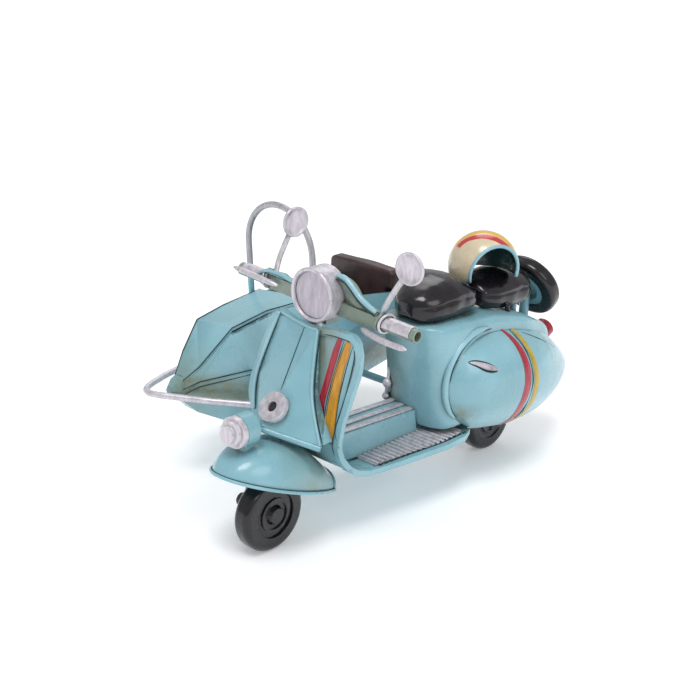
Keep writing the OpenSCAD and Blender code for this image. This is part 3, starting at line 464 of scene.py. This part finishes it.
# The finish of every CAD node that stays
FINISH = {
    "shield": ["leg_shield", "shield_rim"],
    "hull": ["sidecar_hull", "sidecar_deck", "sidecar_tail", "nose_cap"],
    "cowl": ["left_cowl"],
    "mat": ["floor_mat_left"],
    "aqua": ["front_cover", "cover_bead", "tunnel", "right_panel", "spare_carrier", "spare_disc",
             "pillion_posts", "side_mudguard", "fender_lamp"],
    "shade_sage": ["handlebar"],
    "deep_aqua": ["head_tube", "strut_front", "strut_rear"],
    "silver": ["horn_ring", "tunnel_strips", "body_knobs", "bumper_wire",
               "steering_column", "fender_lamp_lens", "headlight_bowl", "left_grip", "right_grip"],
    "screen": ["windscreen_wire"],
    "lens": ["headlight_lens"],
    "dark": ["horn_disc", "rear_brackets", "rear_axle", "saddle_post", "side_wheel_bracket", "side_axle",
             "fork_leg", "front_axle"],
    "black": ["spare_tyre", "front_tyre", "front_wheel_disc", "rear_wheel", "side_wheel"],
    "red": ["tail_light"],
    "rust_mat": ["floor_mat_right"],
    "helmet": ["helmet"],
}


# Mesh helpers


def new_piece(name, vertices, faces, paint, body, smooth=True):
    """A mesh object with its paint, riding on a body."""
    mesh = bpy.data.meshes.new(name)
    mesh.from_pydata([tuple(v) for v in vertices], [], faces)
    mesh.validate()
    mesh.polygons.foreach_set("use_smooth", [smooth] * len(mesh.polygons))
    mesh.materials.append(PAINT[paint])
    piece = bpy.data.objects.new(name, mesh)
    bpy.context.scene.collection.objects.link(piece)
    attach(piece, body)
    return piece


def grid_faces(rows, columns, closed=False, start=0):
    """Quads of a grid of points, row by row; closed joins each row's end to its start."""
    last = columns if closed else columns - 1
    return [(start + r * columns + c, start + r * columns + (c + 1) % columns,
             start + (r + 1) * columns + (c + 1) % columns, start + (r + 1) * columns + c)
            for r in range(rows - 1) for c in range(last)]


def smooth_path(points, steps=6):
    """Catmull-Rom curve through points of any dimension."""
    padded = [points[0], *points, points[-1]]
    path = []
    for i in range(len(points) - 1):
        a, b, c, d = padded[i:i + 4]
        for k in range(steps):
            t = k / steps
            path.append(tuple(0.5 * (2 * q + (r - p) * t + (2 * p - 5 * q + 4 * r - s) * t ** 2
                                     + (3 * q - p - 3 * r + s) * t ** 3) for p, q, r, s in zip(a, b, c, d)))
    path.append(tuple(points[-1]))
    return path


def tube(name, points, radius, paint, body, steps=6, sides=10, taper=0.0, flat=1.0):
    """Round wire along a smooth path in metres; taper thins both ends, and flat squashes its section."""
    path = [Vector(p) for p in (smooth_path([tuple(q) for q in points], steps) if steps > 1 else points)]
    count = len(path)
    taper_steps = max(1, 0.15 * count)
    side = None
    vertices = []
    for i, p in enumerate(path):
        along = (path[min(i + 1, count - 1)] - path[max(i - 1, 0)]).normalized()
        side = along.orthogonal() if side is None else side
        side = (side - along * side.dot(along)).normalized()
        other = along.cross(side)
        from_end = min(i, count - 1 - i) / taper_steps
        r = radius * MM * (1 - taper * max(0, 1 - from_end))
        for k in range(sides):
            a = 2 * math.pi * k / sides
            vertices.append(p + side * r * math.cos(a) + other * r * flat * math.sin(a))
    faces = grid_faces(count, sides, True)
    faces += [tuple(range(sides - 1, -1, -1)), tuple(range((count - 1) * sides, count * sides))]
    return new_piece(name, vertices, faces, paint, body)


def ribbon(name, rows, paint, body):
    """Thin raised band of paint from rows of surface points and their outward directions."""
    columns = len(rows[0])
    height = 0.16 * MM
    edge_drop = 0.75
    top, low = [], []
    for row in rows:
        for k, (p, out) in enumerate(row):
            u = 2 * k / (columns - 1) - 1
            top.append(p + out * height * (1 - edge_drop * u * u))
            low.append(p - out * height)
    count = len(top)
    faces = [f[::-1] for f in grid_faces(len(rows), columns)]
    faces += grid_faces(len(rows), columns, False, count)
    for r in range(len(rows) - 1):
        for c, flip in ((0, False), (columns - 1, True)):
            a, b = r * columns + c, (r + 1) * columns + c
            side = (a, b, b + count, a + count)
            faces.append(side if not flip else side[::-1])
    for c in range(columns - 1):
        faces.append((c, c + 1, c + 1 + count, c + count))
        a = (len(rows) - 1) * columns + c
        faces.append((a + 1, a, a + count, a + 1 + count))
    return new_piece(name, top + low, faces, paint, body)


def lathe(profile, place, axis, segments=48):
    """Vertices and faces of a turned shape; profile is (radius, distance along axis) in millimetres."""
    axis = Vector(axis).normalized()
    side = axis.orthogonal().normalized()
    other = axis.cross(side)
    vertices = []
    for r, h in profile:
        for k in range(segments):
            a = 2 * math.pi * k / segments
            vertices.append(place + (axis * h + (side * math.cos(a) + other * math.sin(a)) * r) * MM)
    return vertices, grid_faces(len(profile), segments, True)


def modify(piece, kind, **settings):
    """Adds one modifier."""
    modifier = piece.modifiers.new(kind.lower(), kind)
    for key, value in settings.items():
        setattr(modifier, key, value)


def apply_modifiers(piece):
    """Replaces a piece's mesh by what its modifiers make of it."""
    evaluated = piece.evaluated_get(bpy.context.evaluated_depsgraph_get())
    mesh = bpy.data.meshes.new_from_object(evaluated)
    piece.modifiers.clear()
    piece.data = mesh
    mesh.polygons.foreach_set("use_smooth", [True] * len(mesh.polygons))


def softened(name, nodes, paint, body, voxel, passes, wobble=0.0):
    """A copy of CAD nodes with its edges rounded as hand-formed sheet is, standing for them."""
    vertices, faces = [], []
    for node in nodes:
        start = len(vertices)
        mesh = NODES[node].data
        vertices += [v.co.copy() for v in mesh.vertices]
        faces += [tuple(start + i for i in p.vertices) for p in mesh.polygons]
    piece = new_piece(name, vertices, faces, paint, body)
    modify(piece, "WELD", merge_threshold=1e-6)
    modify(piece, "REMESH", mode="VOXEL", voxel_size=voxel * MM)
    modify(piece, "SMOOTH", factor=0.5, iterations=passes)
    apply_modifiers(piece)
    if wobble:
        directions = [v.normal.copy() for v in piece.data.vertices]
        for v, out in zip(piece.data.vertices, directions):
            v.co += out * noise.noise(v.co / (9 * MM)) * wobble * MM
    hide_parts(*nodes)
    return piece


# Carried-over nodes


def finish_nodes():
    """Paints each CAD node and rounds its sharp edges a little."""
    for paint, names in FINISH.items():
        for name in names:
            node = NODES[name]
            node.data.materials.clear()
            node.data.materials.append(PAINT[paint])
            modify(node, "WELD", merge_threshold=1e-6)
            modify(node, "BEVEL", width=0.14 * MM, segments=2, limit_method="ANGLE",
                   angle_limit=math.radians(32), use_clamp_overlap=True)
            modify(node, "WEIGHTED_NORMAL", keep_sharp=True)
            node.data.polygons.foreach_set("use_smooth", [True] * len(node.data.polygons))


# Leg shield, its stripes and lines


def shield_y(z):
    """Middle of the shield sheet at height z."""
    if z >= 33:
        return 9.9 + (z - 33) * 3.7 / 21.8
    rise = min(((33 - z) / 17.2) ** 1.25, 1)
    return 26 - 16.2 * math.sqrt(1 - rise * rise)


def shield_point(x, z, proud=0.4):
    """Point in front of the shield's middle sheet at x and z."""
    return at(x, shield_y(z) - proud, z)


def shield_stripe(name, stations, paint):
    """Band painted on the front of the shield, from stations of x, z and width."""
    columns = 7
    rows = []
    for x, z, width in smooth_path(stations, 7):
        slope = shield_y(z + 0.5) - shield_y(z - 0.5)
        out = Vector((0, -1, slope)).normalized()
        rows.append([(shield_point(x + width * (k / (columns - 1) - 0.5), z), out) for k in range(columns)])
    ribbon(name, rows, paint, "frame")


def shield_details():
    """Red and yellow stripes down the left wing, and fine lines beside them."""
    red = [(11.0, 52.9, 1.4), (10.1, 49.2, 1.9), (9.1, 43.6, 1.9), (8.0, 37.3, 2.1), (7.8, 34.3, 2.9),
           (7.8, 31.0, 2.9)]
    yellow = [(13.7, 52.4, 1.4), (13.0, 49.3, 2.4), (12.1, 45.5, 2.7), (11.5, 38.3, 3.1), (11.6, 31.1, 3.0),
              (13.0, 27.0, 2.0)]
    shield_stripe("shield_stripe_red", red, "red")
    shield_stripe("shield_stripe_yellow", yellow, "yellow")
    lines = {
        "shield_line_red": [(12.2, 52.8), (10.9, 46), (9.6, 38), (9.6, 31), (11.0, 27.2)],
        "shield_line_yellow": [(14.9, 51.5), (13.8, 45), (13.1, 38), (13.3, 31), (14.0, 27)],
        "shield_line_middle": [(12.6, 52), (11.4, 46), (10.1, 38), (10.2, 31), (11.6, 27)],
    }
    for name, path in lines.items():
        tube(name, [shield_point(x, z, 0.42) for x, z in path], 0.13, "ink", "frame", 8, 6, 0.6)


def rim_lines():
    """Fine dark lines where the edge band meets the sheet."""
    wing = [(15.9, 51), (16.1, 48), (15.1, 40), (13.6, 32.5), (12.1, 26.5), (11.7, 21)]
    tube("rim_line_wing", [shield_point(x, z, 0.72) for x, z in wing], 0.14, "ink", "frame", 6, 6, 0.4)
    top = [(14.2, 52.7), (9.4, 52.7), (6.0, 52.3)]
    tube("rim_line_top", [shield_point(x, z, 0.72) for x, z in top], 0.12, "ink", "frame", 6, 6, 0.4)
    floor = [(11.6, 25), (13.2, 38), (14.3, 49), (14.2, 56)]
    tube("rim_line_floor", [at(x, y, 16.62) for x, y in floor], 0.14, "ink", "frame", 6, 6, 0.4)


# Right edge, ridge and left edge of the front cover, at three heights
COVER_TOP = [(-8.8, 12.8, 54.2), (0.2, 12.3, 53), (4.6, 11.8, 53.2)]
COVER_MID = [(-12.2, 8.8, 39), (0.1, 4.8, 39), (6.8, 8, 39)]
COVER_LOW = [(-11.6, 7.2, 30), (0, -1.4, 31.6), (12.6, 5, 28.6)]


def cover_details():
    """Rolled lips along the cover's side edges, and ink lines beside them and down its ridge."""
    right = [at(*COVER_TOP[0]), at(*COVER_MID[0]), at(*COVER_LOW[0])]
    left = [at(*COVER_TOP[2]), at(*COVER_MID[2]), at(*COVER_LOW[2])]
    ridge = [at(*COVER_TOP[1]), at(*COVER_MID[1])]
    tube("cover_lip_right", right, 0.62, "highlight_aqua", "frame", 10, 12, 0.3)
    tube("cover_lip_left", left, 0.42, "highlight_aqua", "frame", 10, 10, 0.3)
    inward = Vector((0.9, -0.5, 0)) * MM
    tube("cover_line_right", [p + inward for p in right], 0.15, "ink", "frame", 10, 6, 0.6)
    outward = Vector((0.62, 0.3, 0)) * MM
    tube("cover_line_left", [p + outward for p in left], 0.16, "ink", "frame", 10, 6, 0.6)
    forward = Vector((-0.12, -0.02, 0)) * MM
    tube("cover_line_ridge", [p + forward for p in ridge], 0.11, "ink", "frame", 10, 6, 0.8)
    tube("cover_lip_top", [at(*p) for p in COVER_TOP], 0.35, "highlight_aqua", "frame", 6, 8, 0.2)


# Cowl, its emblem, stripes and front ridge

COWL_NOSE = Vector((6.2, 49.4, 31.8))
COWL_DIP = math.radians(101)
COWL_R = 15.0
COWL_L = 66.0
COWL_WIDE = 24.0
COWL_AXIS = Vector((0, math.sin(COWL_DIP), math.cos(COWL_DIP)))
COWL_DOWN = COWL_AXIS.cross(Vector((1, 0, 0)))


def cowl_radius(s):
    """The cowl's radius at distance s from its nose."""
    if s < COWL_WIDE:
        return COWL_R * math.sqrt(max(1 - ((COWL_WIDE - s) / COWL_WIDE) ** 2.8, 0))
    return COWL_R * math.cos(math.pi / 2 * ((s - COWL_WIDE) / (COWL_L - COWL_WIDE)) ** 1.15) ** 0.9


def cowl_point(s, turn, proud=0.0):
    """Point on the cowl at distance s from its nose; turn is in degrees, 0 at its outer side, 90 below."""
    a = math.radians(turn)
    out = Vector((1, 0, 0)) * math.cos(a) + COWL_DOWN * math.sin(a)
    p = COWL_NOSE + COWL_AXIS * s + out * (cowl_radius(s) + proud)
    return at(*p), out


def cowl_stripe(name, stations, paint):
    """Band painted round the cowl, from stations of turn, distance from the nose and width."""
    columns = 7
    rows = [[cowl_point(s + width * (k / (columns - 1) - 0.5), turn) for k in range(columns)]
            for turn, s, width in smooth_path(stations, 10)]
    ribbon(name, rows, paint, "frame")


def cowl_emblem():
    """Lens-shaped plate with a dark outline, lying on the cowl."""
    # Turn and distance from the nose along its middle; half-widths are in degrees of turn
    middle = smooth_path([(-33, 5.5), (-29.5, 7.0), (-26, 8.6), (-23, 10.6), (-20, 12.7)], 5)
    widest, slant = 7.0, 0.10
    layers = (("emblem_outline", 1.0, 0.10, "ink"), ("emblem_plate", 0.62, 0.26, "lens"))
    for name, share, proud, paint in layers:
        rows = []
        for i, (turn, s) in enumerate(middle):
            u = 2 * i / (len(middle) - 1) - 1
            half = share * widest * max(1 - u * u, 0.0) ** 0.8 + 0.05
            rows.append([cowl_point(s + half * slant * k, turn + half * k, proud)
                         for k in (-1, -0.5, 0, 0.5, 1)])
        plate = ribbon(name, rows, paint, "frame")
        if paint == "ink":
            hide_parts("cowl_badge")


def cowl_details():
    """Red and yellow stripes with a line between them, the ridge round the front, and a line at the tail."""
    red = [(-66, 20.4, 0.8), (-52, 22.2, 2.0), (-30, 24, 2.7), (-6, 25.2, 2.9), (21, 25.6, 2.6),
           (41, 26.6, 2.4), (62, 27.4, 1.6)]
    yellow = [(-63, 25.4, 1.4), (-50, 26.4, 1.9), (-34, 27.6, 2.1), (-5, 29.5, 2.3), (25, 30.4, 2.2),
              (42, 30.3, 1.8), (60, 30.0, 1.2)]
    between = [(-62, 23.9), (-50, 24.6), (-32, 26.0), (-5, 27.6), (25, 28.2), (44, 28.6)]
    tail = [(-58, 28.5), (-50, 36), (-42, 45)]
    cowl_stripe("cowl_stripe_red", red, "red")
    cowl_stripe("cowl_stripe_yellow", yellow, "olive")
    tube("cowl_line", [cowl_point(s, turn, 0.05)[0] for turn, s in between], 0.16, "ink", "frame", 8, 6, 0.5)
    ridge = [(13.0, 66.5, 42.9), (13.2, 64.1, 43.2), (13.2, 61.8, 43.1), (13.1, 59.4, 42.6),
             (13.1, 56.2, 41.2), (13.0, 54.0, 39.5), (12.9, 52.2, 37.2), (12.7, 50.9, 34.2),
             (12.6, 50.4, 30.1), (12.8, 50.7, 26.7), (13.0, 52.1, 23.6), (13.2, 54.0, 21.4)]
    tube("cowl_ridge", [at(*p) for p in ridge], 0.85, "highlight_aqua", "frame", 5, 12, 0.6)
    behind = [at(x + 0.35, y + 1.0, z - 0.45) for x, y, z in ridge]
    tube("cowl_ridge_line", behind, 0.22, "ink", "frame", 5, 6, 0.6)
    tail_line = [cowl_point(s, turn, 0.02)[0] for turn, s in tail]
    tube("cowl_tail_line", tail_line, 0.12, "ink", "frame", 8, 6, 0.6)


# Saddles


def saddle(name, node, sections, peak, body):
    """Domed tin saddle with a tucked-in skirt; sections as middle x, y, half-width, underside, height."""
    rows = smooth_path(sections, 7)
    # Half profile from the underside up: share of the half-width and of the height
    half = smooth_path([(0.0, 0.02), (0.78, 0.0), (0.96, 0.14), (1.0, 0.34), (0.955, 0.5), (0.985, 0.56),
                        (0.86, 0.74), (0.5, 0.94), (0.0, 1.0)], 4)
    profile = half + [(-w, h) for w, h in reversed(half[1:-1])]
    columns = len(profile)
    vertices = []
    for middle, y, width, low, height in rows:
        for w, h in profile:
            p = at(middle + w * width, y, low + h * height)
            crinkle = noise.noise(p / (4.5 * MM)) * 0.32 + noise.noise(p / (1.8 * MM)) * 0.1
            fold = math.sin(y * 0.9 + w * 2) * 0.12 * max(0, 1 - abs(h - 0.3) / 0.3)
            outward = Vector((w, 0, h - 0.45))
            amount = 0 if h < 0.03 else crinkle + fold - 0.25
            vertices.append(p + outward * amount * MM)
    count = len(rows)
    faces = [f[::-1] for f in grid_faces(count, columns, True)]
    for row, flip in ((0, False), (count - 1, True)):
        centre = sum((vertices[row * columns + c] for c in range(columns)), Vector()) / columns
        vertices.append(centre + Vector((0, (0.5 if flip else -0.5) * peak, 0)) * MM)
        for c in range(columns):
            a, b = row * columns + c, row * columns + (c + 1) % columns
            faces.append((a, b, len(vertices) - 1)[::1 if not flip else -1])
    piece = new_piece(name, vertices, faces, "saddle", body)
    modify(piece, "SUBSURF", levels=1, render_levels=1)
    apply_modifiers(piece)
    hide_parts(node)


def saddles():
    """Both saddles, and the two small wires beside them."""
    saddle("front_saddle_cover", "front_saddle",
           [(3, 44.6, 2.6, 48.8, 4.0), (3, 46.6, 5.2, 47.7, 6.8), (2.4, 50, 7.6, 47.2, 8.8),
            (1.4, 53.5, 9.2, 47.1, 9.7), (0.8, 57.5, 9.9, 47.1, 10.1), (0.3, 62, 10.1, 47.1, 9.3),
            (0, 66, 9.2, 47.3, 6.9), (0, 68.3, 6.4, 48, 4.4)], 0.6, "frame")
    saddle("pillion_saddle_cover", "pillion_saddle",
           [(0, 71.3, 5.2, 46.4, 4.8), (0, 72.8, 7.7, 45.4, 6.9), (0, 78, 8.6, 44, 8.5),
            (0, 87, 8.6, 43.4, 9.2), (0, 92, 7.9, 44.3, 6.9), (0, 94.3, 5.4, 45.4, 4.0)], 0.6, "frame")
    stalk = [(-5.0, 51.4, 34), (-5.2, 49.4, 31), (-5.2, 48.8, 27.4), (-6.1, 49.2, 23.4)]
    tube("knob_stalk", [at(*p) for p in stalk], 0.5, "silver", "frame", 6, 10)
    drip = [(8.0, 80.5, 45.6), (8.4, 80.8, 43.6), (8.2, 81, 42.2)]
    tube("pillion_drip", [at(*p) for p in drip], 0.75, "saddle", "frame", 5, 10, 0.5)


# Helmet's rim


def helmet_rim():
    """Rolled edge round the helmet's mouth."""
    mouth_r, mouth_z, edge_z = 7.4, -0.6, -2.38
    low = math.degrees(math.asin((edge_z - mouth_z) / mouth_r))
    turn = Matrix.Rotation(HELMET_TURN, 3, "Z")
    r = HELMET_R - 0.3
    points = []
    for i in range(25):
        a = math.radians(low + (180 - 2 * low) * i / 24)
        y, z = mouth_r * math.cos(a), mouth_z + mouth_r * math.sin(a)
        points.append(at(*(HELMET + turn @ Vector((math.sqrt(r * r - y * y - z * z), y, z)))))
    tube("helmet_rim", points, 0.5, "highlight_aqua", "frame", 1, 10)


# Fender


FENDER_RIM = 7.5
FENDER_FRONT, FENDER_MID, FENDER_REAR = -18.4, -1.0, 14.4
FENDER_W, FENDER_H = 10.3, 10.6
FENDER_SQUARE = 0.8


def fender_size(y):
    """Half-width and height of the fender's arch at y."""
    if y < FENDER_MID:
        left = max(1 - ((FENDER_MID - y) / (FENDER_MID - FENDER_FRONT)) ** 2, 0.002)
        return FENDER_W * left ** 0.5, FENDER_H * left ** 0.55
    s = (y - FENDER_MID) / (FENDER_REAR - FENDER_MID)
    return FENDER_W - 3.4 * s ** 2, FENDER_H - 6.2 * s ** 1.35


def fender_point(y, turn):
    """Point on the fender's arch at y; turn runs from 0 at its left edge, over the top, to pi."""
    w, h = fender_size(y)
    c, s = math.cos(turn), math.sin(turn)
    across = w * math.copysign(abs(c) ** FENDER_SQUARE, c)
    return on_column(across, y, FENDER_RIM + h * max(s, 0) ** FENDER_SQUARE)


def fender():
    """Dented sheet arch with a rolled edge all round."""
    front = [FENDER_MID - (FENDER_MID - FENDER_FRONT) * math.cos(math.pi / 2 * i / 16) for i in range(16)]
    rear = [FENDER_MID + (FENDER_REAR - FENDER_MID) * i / 12 for i in range(13)]
    rows, steps = front + rear, 28
    vertices = []
    for y in rows:
        for k in range(steps + 1):
            turn = math.pi * k / steps
            p = fender_point(y, turn)
            dent = noise.noise(p / (8 * MM)) * 0.22 * math.sin(turn)
            vertices.append(p + COLUMN_AXIS * dent * MM)
    shell = new_piece("fender_shell", vertices, grid_faces(len(rows), steps + 1), "fender", "steering")
    modify(shell, "SOLIDIFY", thickness=0.8 * MM, offset=1)
    modify(shell, "SUBSURF", levels=1, render_levels=1)
    apply_modifiers(shell)
    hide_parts("front_fender")
    near = [on_column(fender_size(y)[0] + 0.25, y, FENDER_RIM + 0.35) for y in reversed(rows)]
    far = [on_column(-fender_size(y)[0] - 0.25, y, FENDER_RIM + 0.35) for y in rows]
    edge = near + far[1:]
    tube("fender_edge", edge, 0.42, "aqua", "steering", 1, 10)
    tube("fender_edge_line", [p + COLUMN_AXIS * 0.42 * MM for p in edge], 0.12, "ink", "steering", 1, 6)
    rear_arc = [fender_point(FENDER_REAR, math.pi * k / 14) for k in range(15)]
    tube("fender_rear_edge", rear_arc, 0.4, "highlight_aqua", "steering", 1, 8)


# Handlebar, levers and mirrors


def bar_web(name, top, bottom, y, paint):
    """Folded sheet between two edges given as x and z, waving a little in depth."""
    vertices = []
    for (x0, z0), (x1, z1) in zip(smooth_path(top, 6), smooth_path(bottom, 6)):
        wave = 0.45 * math.sin(x0 * 0.8)
        vertices += [at(x0, y + wave - 0.9, z0), at(x0, y + wave + 0.5, z0 - 0.2),
                     at(x1, y + 1.1, z1), at((x0 + x1) / 2, y - 0.5 - wave, (z0 + z1) / 2)]
    rows = len(vertices) // 4
    faces = grid_faces(rows, 4, True) + [(3, 2, 1, 0), tuple(range(4 * rows - 4, 4 * rows))]
    new_piece(name, vertices, faces, paint, "steering", False)


def bar_details():
    """Folded webs beside the headlight, the loops that clamp the bar, and tapered levers."""
    top = [(5.2, 65.4), (7.5, 65.2), (9.2, 64.2), (12, 61.9), (14.3, 60.6), (17.4, 59.3)]
    bottom = [(5.2, 56.2), (7.5, 56.0), (10, 55.8), (12.5, 55.6), (15, 55.4), (17.8, 55.2)]
    bar_web("bar_web_left", top, bottom, 18.4, "shade_sage")
    tube("bar_fold_left", [at(x, 17.4, z) for x, z in top], 0.62, "highlight_aqua", "steering", 8, 12, 0.3, 0.7)
    tube("bar_fold_line", [at(x, 16.9, z - 0.9) for x, z in top], 0.16, "ink", "steering", 8, 6, 0.3)
    jagged = [(-5.6, 61.0), (-9.7, 60.6), (-13, 61.3), (-18, 61.2), (-21.4, 59.8)]
    lower = [(-5.6, 57.2), (-10, 56.6), (-14, 57.2), (-18, 56.3), (-21.8, 56.2)]
    bar_web("bar_web_right", jagged, lower, 18.4, "aqua")
    fold = [at(x, 17.3, z) for x, z in jagged]
    tube("bar_fold_right", fold, 0.45, "highlight_aqua", "steering", 8, 10, 0.4, 0.8)
    loop_r = 2.2
    for side, name in ((1, "left"), (-1, "right")):
        for turn, place in ((0, 17.9), (1, 19.3)):
            loop = [on_bar(side * (place + 0.5 * math.sin(a + turn)), loop_r * math.cos(a),
                           0.2 + loop_r * math.sin(a))
                    for a in (2 * math.pi * k / 20 for k in range(21))]
            paint = "silver" if turn else "shade_sage"
            tube(f"clamp_loop_{name}_{turn + 1}", loop, 0.36, paint, "steering", 1, 8)
    blades = {"left_lever": [(13.8, -2.3, -2.0), (16.5, -2.9, -2.3), (21, -3.2, -2.6), (25.5, -3.2, -2.6),
                             (28.2, -3.1, -2.5)],
              "right_lever": [(-13.6, -2.2, 0.2), (-17, -3.0, 0.7), (-21, -3.4, 1.0), (-25, -3.4, 1.2),
                              (-28.2, -3.3, 1.2)]}
    for node, blade in blades.items():
        path = [on_bar(*p) for p in blade]
        lever = tube(node + "_blade", path, 0.75, "silver", "steering", 6, 10, 0.7, 0.5)
        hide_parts(node)


def headlight_details():
    """Bright rolled rim and the dark joint inside it."""
    low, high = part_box("headlight_lens")
    middle = (low + high) / 2
    face = Vector((middle.x, low.y, middle.z))
    # Radius of the ring and of its wire, and how far it stands forward
    rings = (("headlight_rim", 6.15, 0.5, 0.35, "silver"), ("headlight_joint", 5.62, 0.1, 0.0, "ink"))
    for name, ring_r, wire_r, forward, paint in rings:
        ring = [face + Vector((ring_r * math.cos(a), -forward, ring_r * math.sin(a))) * MM
                for a in (2 * math.pi * k / 48 for k in range(49))]
        tube(name, ring, wire_r, paint, "steering", 1, 10)


def mirror(name, node, stem, face, turn):
    """Dished round mirror with a raised rim on a bent wire."""
    axis = Vector((math.sin(turn), -math.cos(turn), 0))
    profile = [(0, -0.6), (2.2, -0.55), (3.3, -0.3), (3.78, 0.1), (3.8, 0.45), (3.55, 0.62), (3.25, 0.5),
               (3.0, 0.28), (2.0, 0.1), (1.0, 0.16), (0, 0.02)]
    vertices, faces = lathe(profile, at(*face), axis)
    head = new_piece(name, vertices, faces, "silver", "steering")
    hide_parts(node)
    tube(name + "_stem", [at(*p) for p in stem], 0.68, "stem", "steering", 6, 12)


def mirrors():
    """The left mirror faces forward and the right one is turned inwards."""
    mirror("left_mirror_head", "left_mirror", [(17.2, BAR_Y, BAR_Z), (20.4, 18.4, 63), (25, 17.7, 69.3)],
           (26.7, 17.6, 71.6), math.radians(5))
    mirror("right_mirror_head", "right_mirror",
           [(-17, BAR_Y, BAR_Z + 1.2), (-18, 21.4, 63.5), (-18, 24.8, 69.2)],
           (-17.4, 26, 72), math.radians(82))


# Floor and sidecar


def floor_details():
    """Black gaps at the outer ends of the mat's ribs, and lines at the foot of the tunnel."""
    low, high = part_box("floor_mat_left")
    dashes, front_inset, sunk = 17, 0.0022, 0.0003
    for i in range(dashes):
        share = (i + 0.5) / dashes
        y = low.y + (high.y - low.y) * share
        x = high.x - front_inset * (1 - share) ** 1.2 + 0.0001
        z = high.z - sunk
        half = (high.y - low.y) / dashes * 0.33
        tube(f"mat_gap_{i + 1:02d}", [(x, y - half, z), (x, y + half, z)], 0.2, "ink", "frame", 3, 6)
    floor_z = 16.3
    for name, x in (("tunnel_line_left", 5.15), ("tunnel_line_right", -5.15)):
        tube(name, [at(x, 22, floor_z), at(x, 36, floor_z), at(x, 50, floor_z)], 0.22, "ink", "frame", 4, 6)


def sidecar_soft():
    """Stuffed-looking back and crowned cushion."""
    softened("sidecar_seat_back", ["seat_back"], "brown", "frame", 0.42, 14, 0.25)
    cushion = softened("sidecar_cushion", ["seat_cushion"], "brown", "frame", 0.6, 10)
    low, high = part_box("seat_cushion")
    middle = (low + high) / 2
    crown = 1.1 * MM
    upward = [v.normal.z > 0.5 for v in cushion.data.vertices]
    for v, up in zip(cushion.data.vertices, upward):
        if up:
            across = 1 - ((v.co.x - middle.x) / (high.x - middle.x)) ** 2
            along = 1 - ((v.co.y - middle.y) / (high.y - middle.y)) ** 2
            v.co.z += crown * max(across, 0) * max(along, 0)


def hull_lines():
    """Ink lines along the folds that show on the sidecar's nose and near flank."""
    folds = {
        "hull_line_fold": [(-41.4, 9, 25.2), (-38, 12.6, 27.7), (-26.5, 20, 32.3), (-22.7, 30, 33),
                           (-22.1, 42, 33)],
        "hull_line_fold_low": [(-41.0, 9.2, 23.9), (-37.9, 12.6, 26.4), (-27.0, 20, 30.9), (-23.2, 30, 31.6)],
        "hull_line_top": [(-42, 9, 26.9), (-38.2, 12.6, 31.7), (-33.7, 20, 41.8), (-31.4, 30, 44.8),
                          (-27, 42, 46.7)],
        "hull_line_far": [(-44.4, 9, 27.1), (-44.4, 12.6, 34.7), (-47.4, 20, 40.7), (-48.2, 30, 42.3),
                          (-46.6, 42, 44.7)],
    }
    for name, path in folds.items():
        tube(name, [at(*p) for p in path], 0.16, "ink", "frame", 1, 6, 0.5)


make_camera()
make_stage()
finish_nodes()
softened("rear_shell", ["rear_body"], "body", "frame", 0.6, 90, 0.35)
shield_details()
cover_details()
rim_lines()
cowl_emblem()
cowl_details()
headlight_details()
saddles()
helmet_rim()
fender()
bar_details()
mirrors()
floor_details()
sidecar_soft()
hull_lines()
bpy.context.scene.view_settings.view_transform = "Standard"
